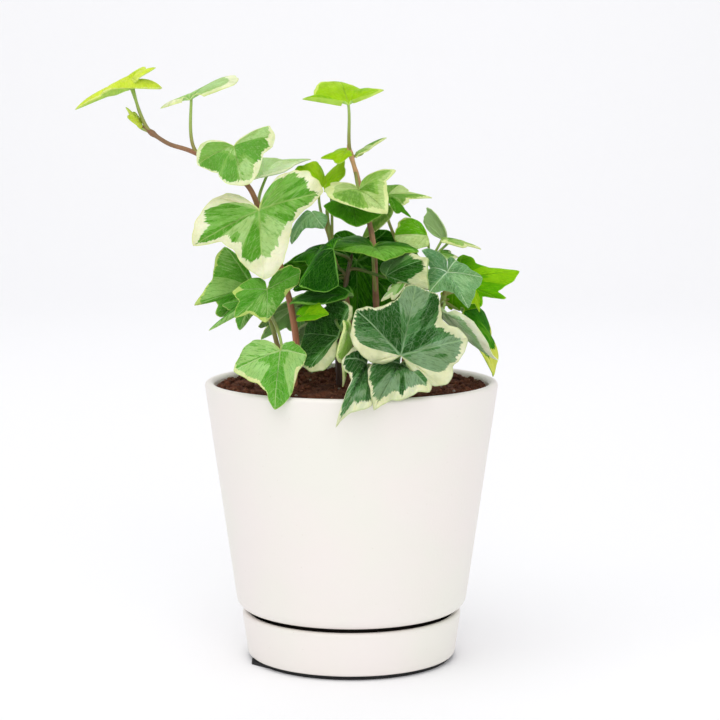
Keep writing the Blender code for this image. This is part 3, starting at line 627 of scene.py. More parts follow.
def stalkMaterial(name, look):
    # a round stem: its colour drifts along it from low to high, with lengthwise streaks
    material, tree, shader = newMaterial(name)
    finish = stalkFinish
    tube = splitUp(tree, addNode(tree, "ShaderNodeUVMap", uv_map="UVMap").outputs[0])
    mottle = mottleAt(tree, objectPlace(tree), finish["cloudScale"], finish["grainScale"])
    streakPlace = combine(
        tree, calc(tree, "MULTIPLY", tube["X"], finish["streakAlong"]),
        calc(tree, "MULTIPLY", tube["Y"], finish["streakRound"]),
    )
    streak = noise(tree, streakPlace, finish["streakScale"], finish["streakDetail"])["Fac"]
    cloud = calc(tree, "SUBTRACT", mottle["Cloud"], 0.5)
    share = calc(tree, "MULTIPLY_ADD", cloud, finish["drift"], tube["X"])
    share = ramp(tree, share, *finish["driftEnds"])
    colour = blendColour(tree, share, srgb(*look["low"]), srgb(*look["high"]))
    lines = ramp(tree, streak, *finish["streakEnds"], 0.0, look["streakShare"])
    grain = calc(tree, "MULTIPLY", mottle["Grain"], finish["grainHeight"])
    height = calc(tree, "ADD", streak, grain)
    feedAll(tree, shader, {
        "Base Color": blendColour(tree, lines, colour, srgb(*look["streak"])),
        "Roughness": ramp(tree, streak, *finish["roughness"]),
        "Normal": bumpOf(tree, height, finish["bumpStrength"], finish["bumpDistance"]),
        **finish["shader"],
    })
    return material


stalkMaterials = {name: stalkMaterial(name, look) for name, look in stalkLooks.items()}
print("ivy materials built")


# The leaves. An edge form is (degrees from the midrib, reach), from the tip to the notch at the stalk: for
# both halves alike, or for the left and the right half each.
edgeForms = {
    "broad": (
        (0, 1), (14, 0.84), (30, 0.68), (45, 0.84), (60, 1), (78, 0.86), (104, 0.62), (134, 0.46),
        (164, 0.22),
    ),
    "round": (
        (0, 1), (13, 0.92), (30, 0.82), (46, 0.9), (60, 1), (77, 0.8), (102, 0.52), (132, 0.36), (164, 0.2),
    ),
    "shallow": (
        (0, 1), (14, 0.8), (30, 0.62), (46, 0.82), (60, 1), (76, 0.76), (100, 0.46), (130, 0.3), (160, 0.18),
    ),
    "pointed": (
        (0, 1), (12, 0.7), (28, 0.46), (46, 0.68), (60, 1), (74, 0.68), (90, 0.54), (110, 0.66), (150, 0.28),
    ),
    "young": (
        (0, 1), (31, 0.72), (60, 1), (92, 0.46), (150, 0.18),
    ),
    "heart": (
        (0, 1), (30, 0.9), (60, 1), (94, 0.7), (142, 0.3),
    ),
    "arching_big_left": (
        (0, 1), (8, 1.08), (15, 1.06), (20, 0.94), (28, 0.82), (37, 0.71), (47, 0.76), (53, 0.91),
        (60, 1), (68, 0.9), (81, 0.73), (100, 0.56), (117, 0.46), (133, 0.38), (144, 0.25), (152, 0.12),
    ),
    "arching_big_right": (
        (0, 1), (9, 0.92), (20, 0.81), (32, 0.69), (49, 0.68), (54, 0.83), (60, 1), (67, 0.97),
        (77, 0.88), (89, 0.75), (105, 0.63), (122, 0.5), (133, 0.34), (138, 0.15),
    ),
    "arching_cream_left": (
        (0, 1), (10, 1.19), (17, 1.23), (25, 1.14), (34, 1.07), (39, 1.26), (47, 1.23), (60, 1),
        (65, 0.74), (69, 0.47), (73, 0.27),
    ),
    "arching_cream_right": (
        (0, 1), (10, 1.03), (20, 1.04), (29, 0.98), (34, 0.87), (45, 0.92), (60, 1), (72, 0.92),
        (88, 0.74), (102, 0.53), (110, 0.33),
    ),
    "front_wide_left": (
        (0, 1), (10, 0.99), (15, 0.85), (21, 0.79), (34, 0.78), (44, 0.79), (52, 0.92), (60, 1),
        (69, 0.95), (80, 0.9), (88, 0.8), (97, 0.66), (108, 0.51), (121, 0.33), (132, 0.14),
    ),
    "front_wide_right": (
        (0, 1), (11, 1), (19, 1.03), (24, 0.95), (29, 0.9), (35, 0.8), (43, 0.82), (50, 0.95), (60, 1),
        (69, 0.95), (77, 0.86), (84, 0.75), (93, 0.78), (104, 0.74), (114, 0.65), (123, 0.51),
        (130, 0.33), (134, 0.15),
    ),
    "front_low_left": (
        (0, 1), (4, 0.87), (22, 0.78), (41, 0.84), (60, 1), (64, 0.73), (69, 0.45), (75, 0.22),
    ),
    "front_low_right": (
        (0, 1), (6, 0.91), (16, 0.71), (28, 0.53), (43, 0.62), (53, 0.89), (60, 1), (70, 0.85),
        (92, 0.5), (130, 0.3),
    ),
    "front_middle_left": (
        (0, 1), (7, 0.89), (17, 0.81), (30, 0.85), (38, 0.83), (51, 0.82), (60, 1), (65, 0.97),
        (70, 0.7), (75, 0.42), (84, 0.17),
    ),
    "front_middle_right": (
        (0, 1), (14, 0.95), (34, 0.94), (48, 0.96), (60, 1), (68, 0.93), (78, 0.8), (100, 0.55), (130, 0.3),
    ),
    "left_low_left": (
        (0, 1), (16, 1.11), (28, 1.11), (35, 1.01), (44, 0.91), (53, 1.01), (60, 1), (69, 0.69),
        (80, 0.44), (105, 0.2), (139, 0.08),
    ),
    "left_low_right": (
        (0, 1), (8, 0.91), (14, 0.76), (30, 0.76), (45, 0.85), (60, 1), (67, 0.94), (73, 0.85),
        (82, 0.76), (97, 0.58), (108, 0.39), (122, 0.18),
    ),
    "left_star_left": (
        (0, 1), (11, 0.99), (20, 0.93), (39, 0.9), (46, 1.1), (60, 1), (86, 0.65), (120, 0.46),
        (144, 0.33), (164, 0.17),
    ),
    "left_star_right": (
        (0, 1), (20, 0.79), (42, 0.72), (52, 0.88), (60, 1), (71, 0.94), (86, 0.76), (102, 0.89),
        (109, 1.01), (120, 0.88), (136, 0.74), (151, 0.54), (166, 0.32),
    ),
    "left_outer_left": (
        (0, 1), (4, 0.83), (9, 0.66), (27, 0.67), (60, 1), (69, 0.86), (76, 0.62), (84, 0.32),
    ),
    "left_outer_right": (
        (0, 1), (14, 0.87), (26, 0.81), (39, 0.88), (50, 1.01), (60, 1), (66, 0.76), (73, 0.48),
        (81, 0.23),
    ),
    "right_star_left": (
        (0, 1), (17, 0.92), (35, 0.85), (60, 1), (76, 0.7), (105, 0.5), (125, 0.5), (143, 0.37),
    ),
    "right_star_right": (
        (0, 1), (6, 0.82), (15, 0.59), (39, 0.64), (60, 1), (78, 0.71), (112, 0.45), (143, 0.57),
        (151, 0.75), (170, 0.72), (195, 0.59), (211, 0.43),
    ),
    "right_lime_left": (
        (0, 1), (9, 0.86), (22, 0.7), (41, 0.7), (52, 0.92), (60, 1), (64, 0.9), (67, 0.7), (73, 0.36),
    ),
    "right_lime_right": (
        (0, 1), (16, 0.9), (36, 0.77), (47, 0.73), (56, 1), (61, 0.82), (68, 0.66), (84, 0.96),
        (98, 0.95), (116, 0.73), (139, 0.36),
    ),
    "tall_cream_left": (
        (0, 1), (13, 0.9), (30, 0.76), (49, 0.69), (53, 0.84), (60, 1), (72, 0.81), (89, 0.51),
        (103, 0.28),
    ),
    "tall_cream_right": (
        (0, 1), (12, 1.18), (21, 1.31), (29, 1.35), (37, 1.38), (47, 1.35), (60, 1), (84, 0.56),
        (129, 0.3), (163, 0.18),
    ),
    "middle_low_left": (
        (0, 1), (17, 1.01), (38, 1.02), (60, 1), (82, 0.84), (95, 0.66), (106, 0.45), (110, 0.24),
    ),
    "middle_low_right": (
        (0, 1), (12, 1.22), (24, 1.38), (38, 1.42), (49, 1.31), (60, 1), (70, 0.68), (78, 0.36),
    ),
    "tall_crown_left": (
        (0, 1), (11, 1.05), (21, 1.08), (29, 1.01), (38, 0.91), (48, 0.81), (60, 1), (61, 0.7),
        (62, 0.4), (69, 0.16),
    ),
    "tall_crown_right": (
        (0, 1), (6, 0.96), (13, 0.89), (25, 0.8), (33, 0.74), (45, 0.85), (60, 1), (63, 0.79),
        (65, 0.51), (67, 0.29), (74, 0.12),
    ),
    "tall_under_left": (
        (0, 1), (12, 0.99), (29, 0.93), (48, 0.94), (60, 1), (70, 0.89), (80, 0.62),
    ),
    "tall_under_right": (
        (0, 1), (10, 1.03), (24, 1), (36, 1.05), (46, 1.05), (60, 1), (65, 0.8), (70, 0.46),
    ),
    "tall_folded_left": (
        (0, 1), (20, 1.03), (37, 1.05), (49, 1.03), (60, 1), (68, 0.88), (73, 0.59),
    ),
    "tall_folded_right": (
        (0, 1), (28, 1.08), (32, 1), (46, 0.97), (60, 1), (68, 0.75), (75, 0.47),
    ),
    "middle_drooping_left": (
        (0, 1), (20, 1), (40, 1.02), (60, 1), (62, 0.72), (63, 0.42), (64, 0.18),
    ),
    "middle_drooping_right": (
        (0, 1), (23, 0.94), (38, 0.92), (52, 0.98), (60, 1), (74, 0.9), (88, 0.7), (112, 0.46),
        (157, 0.29),
    ),
    "tall_flat_left": (
        (0, 1), (12, 0.91), (32, 0.8), (50, 0.73), (60, 1), (85, 0.76), (116, 0.62), (134, 0.45),
        (136, 0.22),
    ),
    "tall_flat_right": (
        (0, 1), (7, 0.88), (14, 0.81), (29, 0.68), (46, 0.75), (54, 0.87), (60, 1), (103, 0.63),
        (148, 0.75), (166, 0.84), (173, 0.66), (176, 0.38),
    ),
    "middle_star_left": (
        (0, 1), (17, 0.9), (40, 0.93), (60, 1), (74, 0.88), (89, 0.82), (98, 0.58), (103, 0.22),
    ),
    "middle_star_right": (
        (0, 1), (15, 0.89), (38, 0.86), (60, 1), (61, 0.81), (62, 0.65), (63, 0.48), (85, 0.42),
        (91, 0.22),
    ),
    "right_narrow_left": (
        (0, 1), (24, 1), (41, 1.06), (50, 1.02), (60, 1), (66, 0.81), (68, 0.51),
    ),
    "right_narrow_right": (
        (0, 1), (13, 0.98), (20, 0.9), (27, 0.83), (29, 0.64), (39, 0.61), (60, 1), (66, 0.98),
        (67, 0.54),
    ),
    "right_dark_left": (
        (0, 1), (15, 1.05), (29, 1.11), (35, 1.08), (37, 0.93), (49, 0.99), (60, 1), (65, 0.66),
        (70, 0.3),
    ),
    "right_dark_right": (
        (0, 1), (31, 1.09), (41, 1.08), (47, 1.01), (60, 1), (74, 1.02), (79, 0.64),
    ),
    "slender_grey_left": (
        (0, 1), (6, 0.86), (7, 0.64), (20, 0.56), (46, 0.71), (60, 1), (70, 0.88), (82, 0.68),
        (86, 0.31),
    ),
    "slender_grey_right": (
        (0, 1), (23, 1), (46, 1.07), (60, 1), (72, 0.78), (83, 0.45),
    ),
    "back_lime_left": (
        (0, 1), (16, 1.12), (27, 1.04), (45, 0.99), (60, 1), (72, 0.83), (83, 0.74), (89, 0.43),
    ),
    "back_lime_right": (
        (0, 1), (24, 0.95), (43, 1), (60, 1), (70, 0.91), (79, 0.74), (87, 0.53), (88, 0.29),
    ),
    "back_pale_left": (
        (0, 1), (25, 1), (44, 1), (60, 1), (68, 0.84), (75, 0.58), (79, 0.28),
    ),
    "back_pale_right": (
        (0, 1), (15, 0.86), (46, 0.92), (60, 1), (74, 1.02), (80, 0.87), (84, 0.54), (85, 0.23),
    ),
    "middle_long_left": (
        (0, 1), (39, 1), (60, 1), (69, 0.81), (76, 0.52),
    ),
    "middle_long_right": (
        (0, 1), (22, 0.97), (37, 0.95), (49, 0.97), (60, 1), (68, 0.95), (74, 0.77), (78, 0.46),
    ),
    "arching_wing_left": (
        (0, 1), (5, 0.6), (20, 0.32), (40, 0.45), (52, 0.75), (60, 1), (68, 0.6), (96, 0.14),
    ),
    "arching_wing_right": (
        (0, 1), (5, 1.15), (60, 1), (80, 1.16), (89, 0.84), (99, 0.49),
    ),
}

# Where a leaf turns cream, as (degrees from the midrib, share of the way to the edge), and its paler (above
# 0) and deeper parts (below 0), as (from and to degrees, from and to share, tone). Degrees below 0 are the
# left half's, and a later part lies over an earlier one. A form that isn't here gets its marks by chance.
leafMarks = {
    "tall_crown": {
        "cream": (
            (-69, 1.02), (-60, 1.0), (-48, 0.94), (-38, 0.88), (-28, 0.94), (-14, 0.9), (0, 0.96), (8, 0.9),
            (16, 0.82), (24, 0.9), (34, 0.95), (46, 0.96), (54, 0.82), (62, 0.86), (70, 1.02),
        ),
        "tones": ((-69, -52, 0.3, 1, -0.5), (-30, 0, 0.5, 1, 0.4), (30, 50, 0.4, 0.9, -0.5)),
    },
    "tall_under": {"cream": ((-80, 1.03), (70, 1.03)), "tones": ((0, 40, 0.5, 1, -0.3),)},
    "tall_folded": {
        "cream": ((-73, 0.98), (-30, 0.96), (0, 1.02), (40, 0.97), (75, 0.95)),
        "tones": ((-73, -8, 0.25, 0.55, 1), (-70, -20, 0.62, 0.8, -1), (10, 70, 0.3, 0.8, 0.9)),
    },
    "tall_flat": {
        "cream": ((-136, 1.03), (176, 1.03)),
        "tones": (
            (-136, -64, 0, 1, -0.8), (-60, 0, 0.2, 1, 0.6), (0, 54, 0.25, 1, 1), (70, 176, 0, 0.75, -0.6),
            (90, 176, 0.78, 1, -0.2),
        ),
    },
    "middle_drooping": {
        "cream": ((-64, 1.02), (-12, 1.0), (0, 0.98), (24, 0.96), (38, 1.0), (157, 1.03)),
        "tones": (
            (-64, 0, 0, 1, -1), (0, 60, 0, 0.6, -1), (6, 70, 0.64, 0.82, 0.6), (6, 157, 0.84, 1, 1),
            (72, 157, 0, 0.8, 0.5),
        ),
    },
    "middle_star": {
        "cream": (
            (-103, 0.97), (-60, 0.95), (-40, 0.9), (-17, 0.84), (0, 0.86), (12, 0.94), (19, 0.93), (26, 0.84),
            (38, 0.72), (52, 0.6), (58, 0.58), (61, 0.66), (63, 0.82), (91, 0.94),
        ),
        "tones": (
            (-103, -22, 0.1, 1, 0.9), (-20, 0, 0.2, 0.8, 0.3), (3, 16, 0.2, 0.9, -0.6),
            (18, 91, 0.1, 0.7, -0.3),
        ),
    },
    "right_narrow": {
        "cream": (
            (-68, 0.86), (-50, 0.84), (-30, 0.86), (-10, 0.9), (0, 0.9), (14, 0.86), (40, 0.84), (52, 0.8),
            (62, 0.86), (78, 0.92),
        ),
        "tones": ((-60, 0, 0.3, 0.7, 0.8), (0, 60, 0.2, 0.6, 1), (62, 78, 0.2, 0.8, -0.5)),
    },
    "right_dark": {
        "cream": (
            (-70, 0.98), (-49, 0.94), (-38, 0.92), (-30, 0.86), (-16, 0.78), (0, 0.74), (15, 0.8), (32, 0.84),
            (41, 0.9), (52, 0.95), (79, 0.99),
        ),
        "tones": (
            (-70, -34, 0, 1, -0.5), (-34, 0, 0.4, 0.8, 0.6), (0, 40, 0.5, 0.75, 0.7), (44, 79, 0, 1, -0.6),
        ),
    },
    "right_lime": {
        "cream": ((-220, 1.03), (220, 1.03)),
        "tones": ((-30, 30, 0.5, 1, 1), (-220, -34, 0, 1, -0.4), (34, 70, 0.2, 0.8, 0.3)),
    },
    "back_pale": {
        "cream": ((-220, 1.02), (220, 1.02)),
        "tones": ((-220, 0, 0, 1, 1), (0, 220, 0, 1, 0.9)),
    },
    "right_star": {
        "cream": ((-220, 1.03), (220, 1.03)),
        "tones": (
            (6, 54, 0.1, 1, -0.4), (64, 220, 0.1, 0.95, -0.9), (-54, -6, 0.1, 0.8, 0.6),
            (-104, -64, 0.15, 1, -0.4), (-220, -116, 0.1, 1, -0.8),
        ),
    },
    "arching_wing": {
        "cream": ((-96, 0.7), (-56, 0.5), (-20, 0.6), (0, 0.86), (20, 0.8), (60, 0.84), (99, 0.8)),
        "tones": ((-96, 0, 0, 1, 1), (0, 99, 0.1, 1, 0.9)),
    },
    "middle_long": {
        "cream": ((-76, 0.98), (-40, 0.95), (0, 0.97), (20, 0.95), (50, 0.96), (78, 0.98)),
        "tones": (
            (-76, -20, 0.1, 0.8, -0.5), (4, 40, 0.3, 0.86, -0.8), (44, 78, 0.3, 0.88, -0.8),
            (0, 78, 0.9, 1, 1),
        ),
    },
    "back_lime": {
        "cream": (
            (-89, 1.03), (-20, 1.02), (0, 1.0), (20, 0.96), (34, 0.9), (46, 0.95), (58, 0.89), (70, 0.95),
            (80, 0.9), (88, 1.0),
        ),
        "tones": ((-89, 0, 0.06, 1, 1), (0, 24, 0, 0.9, -0.6), (66, 88, 0, 0.9, -0.6)),
    },
    "slender_grey": {
        "cream": ((-86, 1.03), (83, 1.0)),
        "tones": ((-86, -2, 0, 1, 0.6), (0, 14, 0.08, 0.9, 1), (20, 83, 0.3, 0.9, -0.4)),
    },
    "arching_big": {
        "cream": (
            (-150, 0.9), (-135, 0.78), (-120, 0.83), (-98, 0.94), (-90, 0.82), (-80, 0.88), (-68, 0.78),
            (-55, 0.97), (-48, 0.8), (-40, 0.95), (-32, 0.84), (-22, 0.74), (-10, 0.72), (0, 0.66), (8, 0.84),
            (20, 0.93), (26, 0.76), (40, 0.88), (48, 0.78), (60, 0.94), (70, 0.72), (80, 0.84), (90, 0.93),
            (103, 0.66), (112, 0.46), (122, 0.34), (138, 0.2),
        ),
        "tones": (
            (-152, -62, 0.05, 0.5, 0.3), (-84, -75, 0.45, 0.95, -1), (-68, -61, 0.4, 1, -0.8),
            (-59, -34, 0.22, 1, -0.4), (-42, -36, 0.5, 1, -1), (-32, 0, 0.26, 1, 1), (1, 23, 0.26, 1, -0.8),
            (24, 52, 0.2, 1, 1), (35, 43, 0.68, 0.95, -0.7), (54, 64, 0.22, 1, -1),
            (74, 104, 0.28, 0.95, -0.45), (104, 138, 0, 1, 1),
        ),
    },
    "arching_cream": {
        "cream": (
            (-73, 0.25), (-66, 0.5), (-61, 0.96), (-50, 0.9), (-46, 0.78), (-38, 0.92), (-28, 0.96),
            (-20, 0.78), (-12, 0.95), (0, 0.87), (10, 0.94), (58, 0.98), (66, 0.92), (80, 0.86), (92, 0.8),
            (100, 0.45), (110, 0.25),
        ),
        "tones": (
            (-73, -47, 0, 1, 1), (-46, -22, 0.06, 1, -1), (-22, 0, 0.06, 0.4, -1), (-21, 3, 0.44, 1, 0.8),
            (3, 60, 0.12, 0.36, 0.8), (5, 59, 0.36, 1, -1), (27, 31, 0.4, 1, 0.2),
        ),
    },
    "tall_cream": {
        "cream": (
            (-103, 0.5), (-80, 0.66), (-66, 0.9), (-50, 0.92), (-40, 0.9), (-25, 0.86), (0, 0.9), (15, 0.84),
            (26, 1), (46, 0.94), (52, 0.8), (62, 0.72), (100, 0.5), (163, 0.3),
        ),
        "tones": (
            (-48, -14, 0.05, 0.62, -0.9), (-60, -8, 0.64, 1, 0.7), (-14, 21, 0.2, 1, 0.8),
            (22, 48, 0.25, 1, -0.6), (50, 163, 0, 1, 1),
        ),
    },
    "front_wide": {
        "cream": (
            (-132, 0.04), (-96, 0.1), (-92, 0.3), (-89, 0.8), (-80, 0.92), (-66, 0.98), (-45, 0.93),
            (-20, 0.98), (0, 1.02), (22, 1), (30, 0.9), (36, 0.8), (42, 0.88), (48, 0.79), (60, 0.89),
            (80, 0.94), (90, 0.86), (101, 0.68), (105, 0.4), (112, 0.16), (134, 0.04),
        ),
        "tones": (
            (-95, -63, 0.15, 1, 0.45), (-72, -63, 0.55, 1, -0.5), (-62, -18, 0.04, 1, -1),
            (-17, 0, 0.1, 0.5, -0.2), (-16, 14, 0.7, 1.1, 1), (-9, 9, 0.54, 0.7, 1), (14, 26, 0.54, 1, -1),
            (14, 52, 0.04, 0.3, -1), (24, 50, 0.3, 0.52, -1), (33, 48, 0.52, 0.75, -1),
            (53, 112, 0.2, 1, 1), (71, 77, 0.57, 0.7, -0.7), (60, 66, 0.15, 0.5, -0.4),
        ),
    },
    "front_low": {
        "cream": (
            (-75, 0.3), (-62, 0.6), (-58, 0.9), (-40, 0.84), (-30, 0.88), (-20, 0.8), (-8, 0.86), (0, 0.9),
            (10, 0.92), (18, 0.96), (24, 0.88), (30, 0.94), (38, 0.9), (50, 0.97), (66, 0.9), (74, 0.6),
        ),
        "tones": (
            (-75, 74, 0, 0.6, -1), (-46, 0, 0.58, 0.8, 0.8), (-56, -46, 0.5, 1, -0.8), (2, 22, 0.62, 1, 0.5),
            (30, 74, 0.3, 1, -1),
        ),
    },
    "front_middle": {
        "cream": (
            (-84, 0.3), (-66, 0.85), (-50, 0.86), (-38, 0.8), (-30, 0.93), (-20, 0.8), (0, 0.86), (12, 0.93),
            (35, 0.93), (46, 0.97), (66, 0.9),
        ),
        # painted shade: the first part, deep across the whole leaf near its stalk, is the shadow of the wide
        # leaf over it
        "tones": (
            (-84, 66, 0, 0.3, -1), (-60, -12, 0.42, 1, 0.9), (-34, -26, 0.45, 0.95, -0.9),
            (-12, 24, 0.34, 1, 0.9), (25, 66, 0.25, 0.9, -0.7),
        ),
    },
    "left_low": {
        "cream": (
            (-139, 1.03), (-60, 1.02), (-50, 0.95), (-42, 0.84), (-36, 0.9), (-28, 1.01), (0, 1.02),
            (20, 0.96), (38, 0.9), (48, 0.94), (54, 0.87), (62, 0.95), (72, 1.02), (122, 1.02),
        ),
        "tones": (
            (-139, -64, 0, 1, 0.3), (-60, -24, 0.35, 1, 0.9), (-24, 0, 0.1, 1, -0.4),
            (0, 26, 0.1, 0.84, -0.4), (26, 60, 0.42, 1, 0.8), (26, 56, 0.1, 0.4, -0.3),
            (62, 122, 0, 1, 0.7),
        ),
    },
    "left_star": {
        "cream": (
            (-164, 1.02), (-112, 0.84), (-96, 0.98), (-46, 1), (-38, 0.74), (-30, 1), (-8, 0.98), (4, 0.84),
            (12, 0.95), (42, 0.9), (52, 0.8), (60, 1), (104, 0.98), (110, 0.7), (118, 1), (166, 1.02),
        ),
        "tones": (
            (-90, -62, 0.6, 1, -1), (-60, -20, 0.1, 0.8, 0.2), (-18, 0, 0.4, 1, 0.5), (2, 56, 0.2, 0.9, 0.5),
            (66, 96, 0.3, 1, -0.6),
        ),
    },
    "left_outer": {
        "cream": ((-84, 1), (-4, 1), (0, 0.9), (5, 0.94), (30, 1), (46, 0.93), (60, 1), (81, 0.96)),
        "tones": (
            (-60, -12, 0.5, 0.9, -1), (-60, -12, 0, 0.48, 0.3), (3, 30, 0.3, 1, 0.9), (34, 60, 0.5, 1, 0.4),
        ),
    },
    "middle_low": {
        "cream": (
            (-110, 0.1), (-84, 0.2), (-78, 0.55), (-70, 0.78), (-60, 0.9), (-48, 0.98), (-36, 1.03),
            (46, 1.03), (56, 0.92), (66, 0.8), (78, 0.6),
        ),
        "tones": ((-110, -52, 0.2, 1, 0.55), (-50, 54, 0.05, 1, -0.6), (56, 78, 0, 1, 0.6)),
    },
}

# The blade: its thickness in millimetres, with the share that its edge keeps, and the other lengths as shares
# of the leaf's length
blade = {
    "spokeStepDeg": 3.0, "besideVeinDeg": 1.6, "clearOfVeinDeg": 2.4,
    "ringShares": (1, 0.985, 0.94, 0.87, 0.79, 0.7, 0.61, 0.52, 0.43, 0.34, 0.25, 0.17, 0.1, 0.04),
    "thickness": 0.55,
    "edgeThickness": 0.6, "edgeBand": 0.05,
    "edgeWave": 0.012, "longWave": (7.3, 1.1), "shortWave": (17, 2.3, 0.7),
    "lobeDeg": 60,
    "puff": 0.022, "puffDeg": 26,
    "groove": 0.007, "grooveDeg": 1.2, "grooveStart": 6, "grooveFade": 0.8,
    "ripple": 0.018, "rippleWaves": (3.2, 4.6),
    "tipDroop": 0.02, "droopFrom": 0.7, "droopDeg": 18, "droopChance": (0.4, 1.2),
    "toneFade": 0.24,
    "smoothDeg": 60,
}


def halfEdge(form, side):
    return edgeForms.get(form + "_" + side) or edgeForms[form]


def reachAt(form, degrees):
    # the edge's reach between the form's points, without overshoot
    angle = abs(degrees)
    spots = halfEdge(form, "left" if degrees < 0 else "right")
    for (a, low), (b, high) in zip(spots, spots[1:]):
        if angle <= b:
            share = (angle - a) / (b - a)
            eased = (share * share * (3 - 2 * share) + share) / 2
            return low + (high - low) * eased
    return spots[-1][1]


def spokeAngles(form, side):
    # the directions in which one half of the flat leaf has points, with three close ones at each vein
    last = halfEdge(form, side)[-1][0]
    half = {0.0, float(last)}
    beside = blade["besideVeinDeg"]
    for vein in veinDegrees:
        half.update(v for v in (vein - beside, vein, vein + beside) if 0 <= v <= last)
    count = int(last / blade["spokeStepDeg"])
    even = [last * k / count for k in range(count)]
    half.update(v for v in even if all(abs(v - vein) > blade["clearOfVeinDeg"] for vein in veinDegrees))
    return sorted(half)


def flatEdge(form, degrees):
    # the point of the flat leaf's edge in one direction, with the edge's own small waves
    turn = math.radians(degrees)
    waves, start = blade["longWave"]
    wave = math.sin(waves * turn + start)
    waves, start, share = blade["shortWave"]
    wave += share * math.sin(waves * turn + start)
    reach = reachAt(form, degrees) * (1 + blade["edgeWave"] * wave)
    return Vector((reach * math.sin(turn), reach * math.cos(turn), 0))


chance = {
    "creamPastEdge": 1.03, "creamRange": (0.3, 1.9), "creamStepDeg": 20,
    "patchBounds": (-180, -112, -86, -60, -30, 0, 30, 60, 86, 112, 180),
    "patchNear": (0, 0.3), "patchFar": (0.7, 1.3),
}


def chanceMarks(look, draw):
    # cream and patches for a leaf whose form has no marks; the patches end at its main veins or halfway
    cream = []
    for turn in range(-180, 181, chance["creamStepDeg"]):
        margin = look["creamShare"] * draw.uniform(*chance["creamRange"])
        cream.append((turn, chance["creamPastEdge"] - margin))
    tones = []
    for low, high in zip(chance["patchBounds"], chance["patchBounds"][1:]):
        near = draw.uniform(*chance["patchNear"])
        far = draw.uniform(*chance["patchFar"])
        tones.append((low, high, near, far, draw.choice(look["tones"])))
    return {"cream": cream, "tones": tones}


def creamFromAt(marks, degrees):
    spots = marks["cream"]
    for (a, low), (b, high) in zip(spots, spots[1:]):
        if degrees <= b:
            return low + (high - low) * max(0.0, degrees - a) / (b - a)
    return spots[-1][1]


def toneAt(marks, degrees, share):
    # a part fades out at its near and far ends, where its fingers then show, but not at its sides
    found = 0.0
    fade = blade["toneFade"]
    for low, high, near, far, tone in marks["tones"]:
        if low <= degrees <= high:
            held = min((share - near) / fade + 0.5, (far - share) / fade + 0.5)
            found += (tone - found) * max(0.0, min(1.0, held))
    return found


def edgeGapOf(spot, edge):
    # the shortest way from a point of the flat leaf to its edge
    ways = []
    for a, b in zip(edge, edge[1:]):
        span = b - a
        share = max(0.0, min(1.0, (spot - a).dot(span) / max(span.length_squared, 1e-12)))
        ways.append((a + span * share - spot).length)
    return min(ways)


def modelFlatLeaf(form):
    # one flat leaf for each form: a ring of points is laid on the edge, opened at the notch, and then
    # extruded inwards to the stalk, ring by ring
    leftSpokes = [-v for v in spokeAngles(form, "left")]
    rightSpokes = spokeAngles(form, "right")
    angles = leftSpokes[:0:-1] + rightSpokes
    selectNothing()
    bpy.ops.mesh.primitive_circle_add(vertices=len(angles), radius=1, fill_type="NOTHING")
    leaf = bpy.context.object
    leaf.name = "flatLeaf_" + form
    spokes = leaf.data.attributes.new("spoke", "FLOAT", "POINT")
    spokes.data.foreach_set("value", angles)
    for vert, degrees in zip(leaf.data.vertices, angles):
        vert.co = flatEdge(form, degrees)
    bpy.ops.object.mode_set(mode="EDIT")
    inEdit = bmesh.from_edit_mesh(leaf.data)
    inEdit.verts.ensure_lookup_table()
    opening = inEdit.edges.get((inEdit.verts[0], inEdit.verts[len(angles) - 1]))
    bmesh.ops.delete(inEdit, geom=[opening], context="EDGES_FACES")
    bmesh.update_edit_mesh(leaf.data)
    bpy.ops.mesh.select_all(action="SELECT")
    shares = blade["ringShares"]
    for outer, inner in zip(shares, [*shares[1:], 0.0]):
        bpy.ops.mesh.extrude_region_move()
        scale = inner / outer
        bpy.ops.transform.resize(value=(scale, scale, scale), center_override=(0, 0, 0))
    leaveEdit()
    # the innermost ring becomes the one point at the stalk
    workOn(leaf)
    bpy.ops.object.mode_set(mode="EDIT")
    inEdit = bmesh.from_edit_mesh(leaf.data)
    middle = [v for v in inEdit.verts if v.co.length < 1e-5]
    bmesh.ops.pointmerge(inEdit, verts=middle, merge_co=(0, 0, 0))
    bmesh.ops.recalc_face_normals(inEdit, faces=inEdit.faces)
    bmesh.update_edit_mesh(leaf.data)
    leaveEdit()
    mesh = leaf.data
    if mesh.polygons[0].normal.z < 0:
        mesh.flip_normals()
    edges = {}
    for sign, half in ((-1, leftSpokes), (1, rightSpokes)):
        edges[sign] = [flatEdge(form, degrees).xy for degrees in half] + [Vector((0, 0))]
    spokes = mesh.attributes["spoke"].data
    found = []
    for vert in mesh.vertices:
        sign = -1 if spokes[vert.index].value < 0 else 1
        found.append(edgeGapOf(vert.co.xy, edges[sign]))
    gaps = mesh.attributes.new("edgeGap", "FLOAT", "POINT")
    gaps.data.foreach_set("value", found)
    layer = mesh.uv_layers.new(name="flatLeaf")
    x, y = flatMap["stalk"]
    scale = flatMap["midrib"]
    for loop in mesh.loops:
        spot = mesh.vertices[loop.vertex_index].co
        layer.data[loop.index].uv = (x + spot.x * scale, y + spot.y * scale)
    return leaf


def leafUp(row):
    middle = row["tip"] - row["base"]
    rightHalf = (row["right"] - row["base"]).cross(middle).normalized()
    leftHalf = middle.cross(row["left"] - row["base"]).normalized()
    return (rightHalf + leftHalf).normalized()


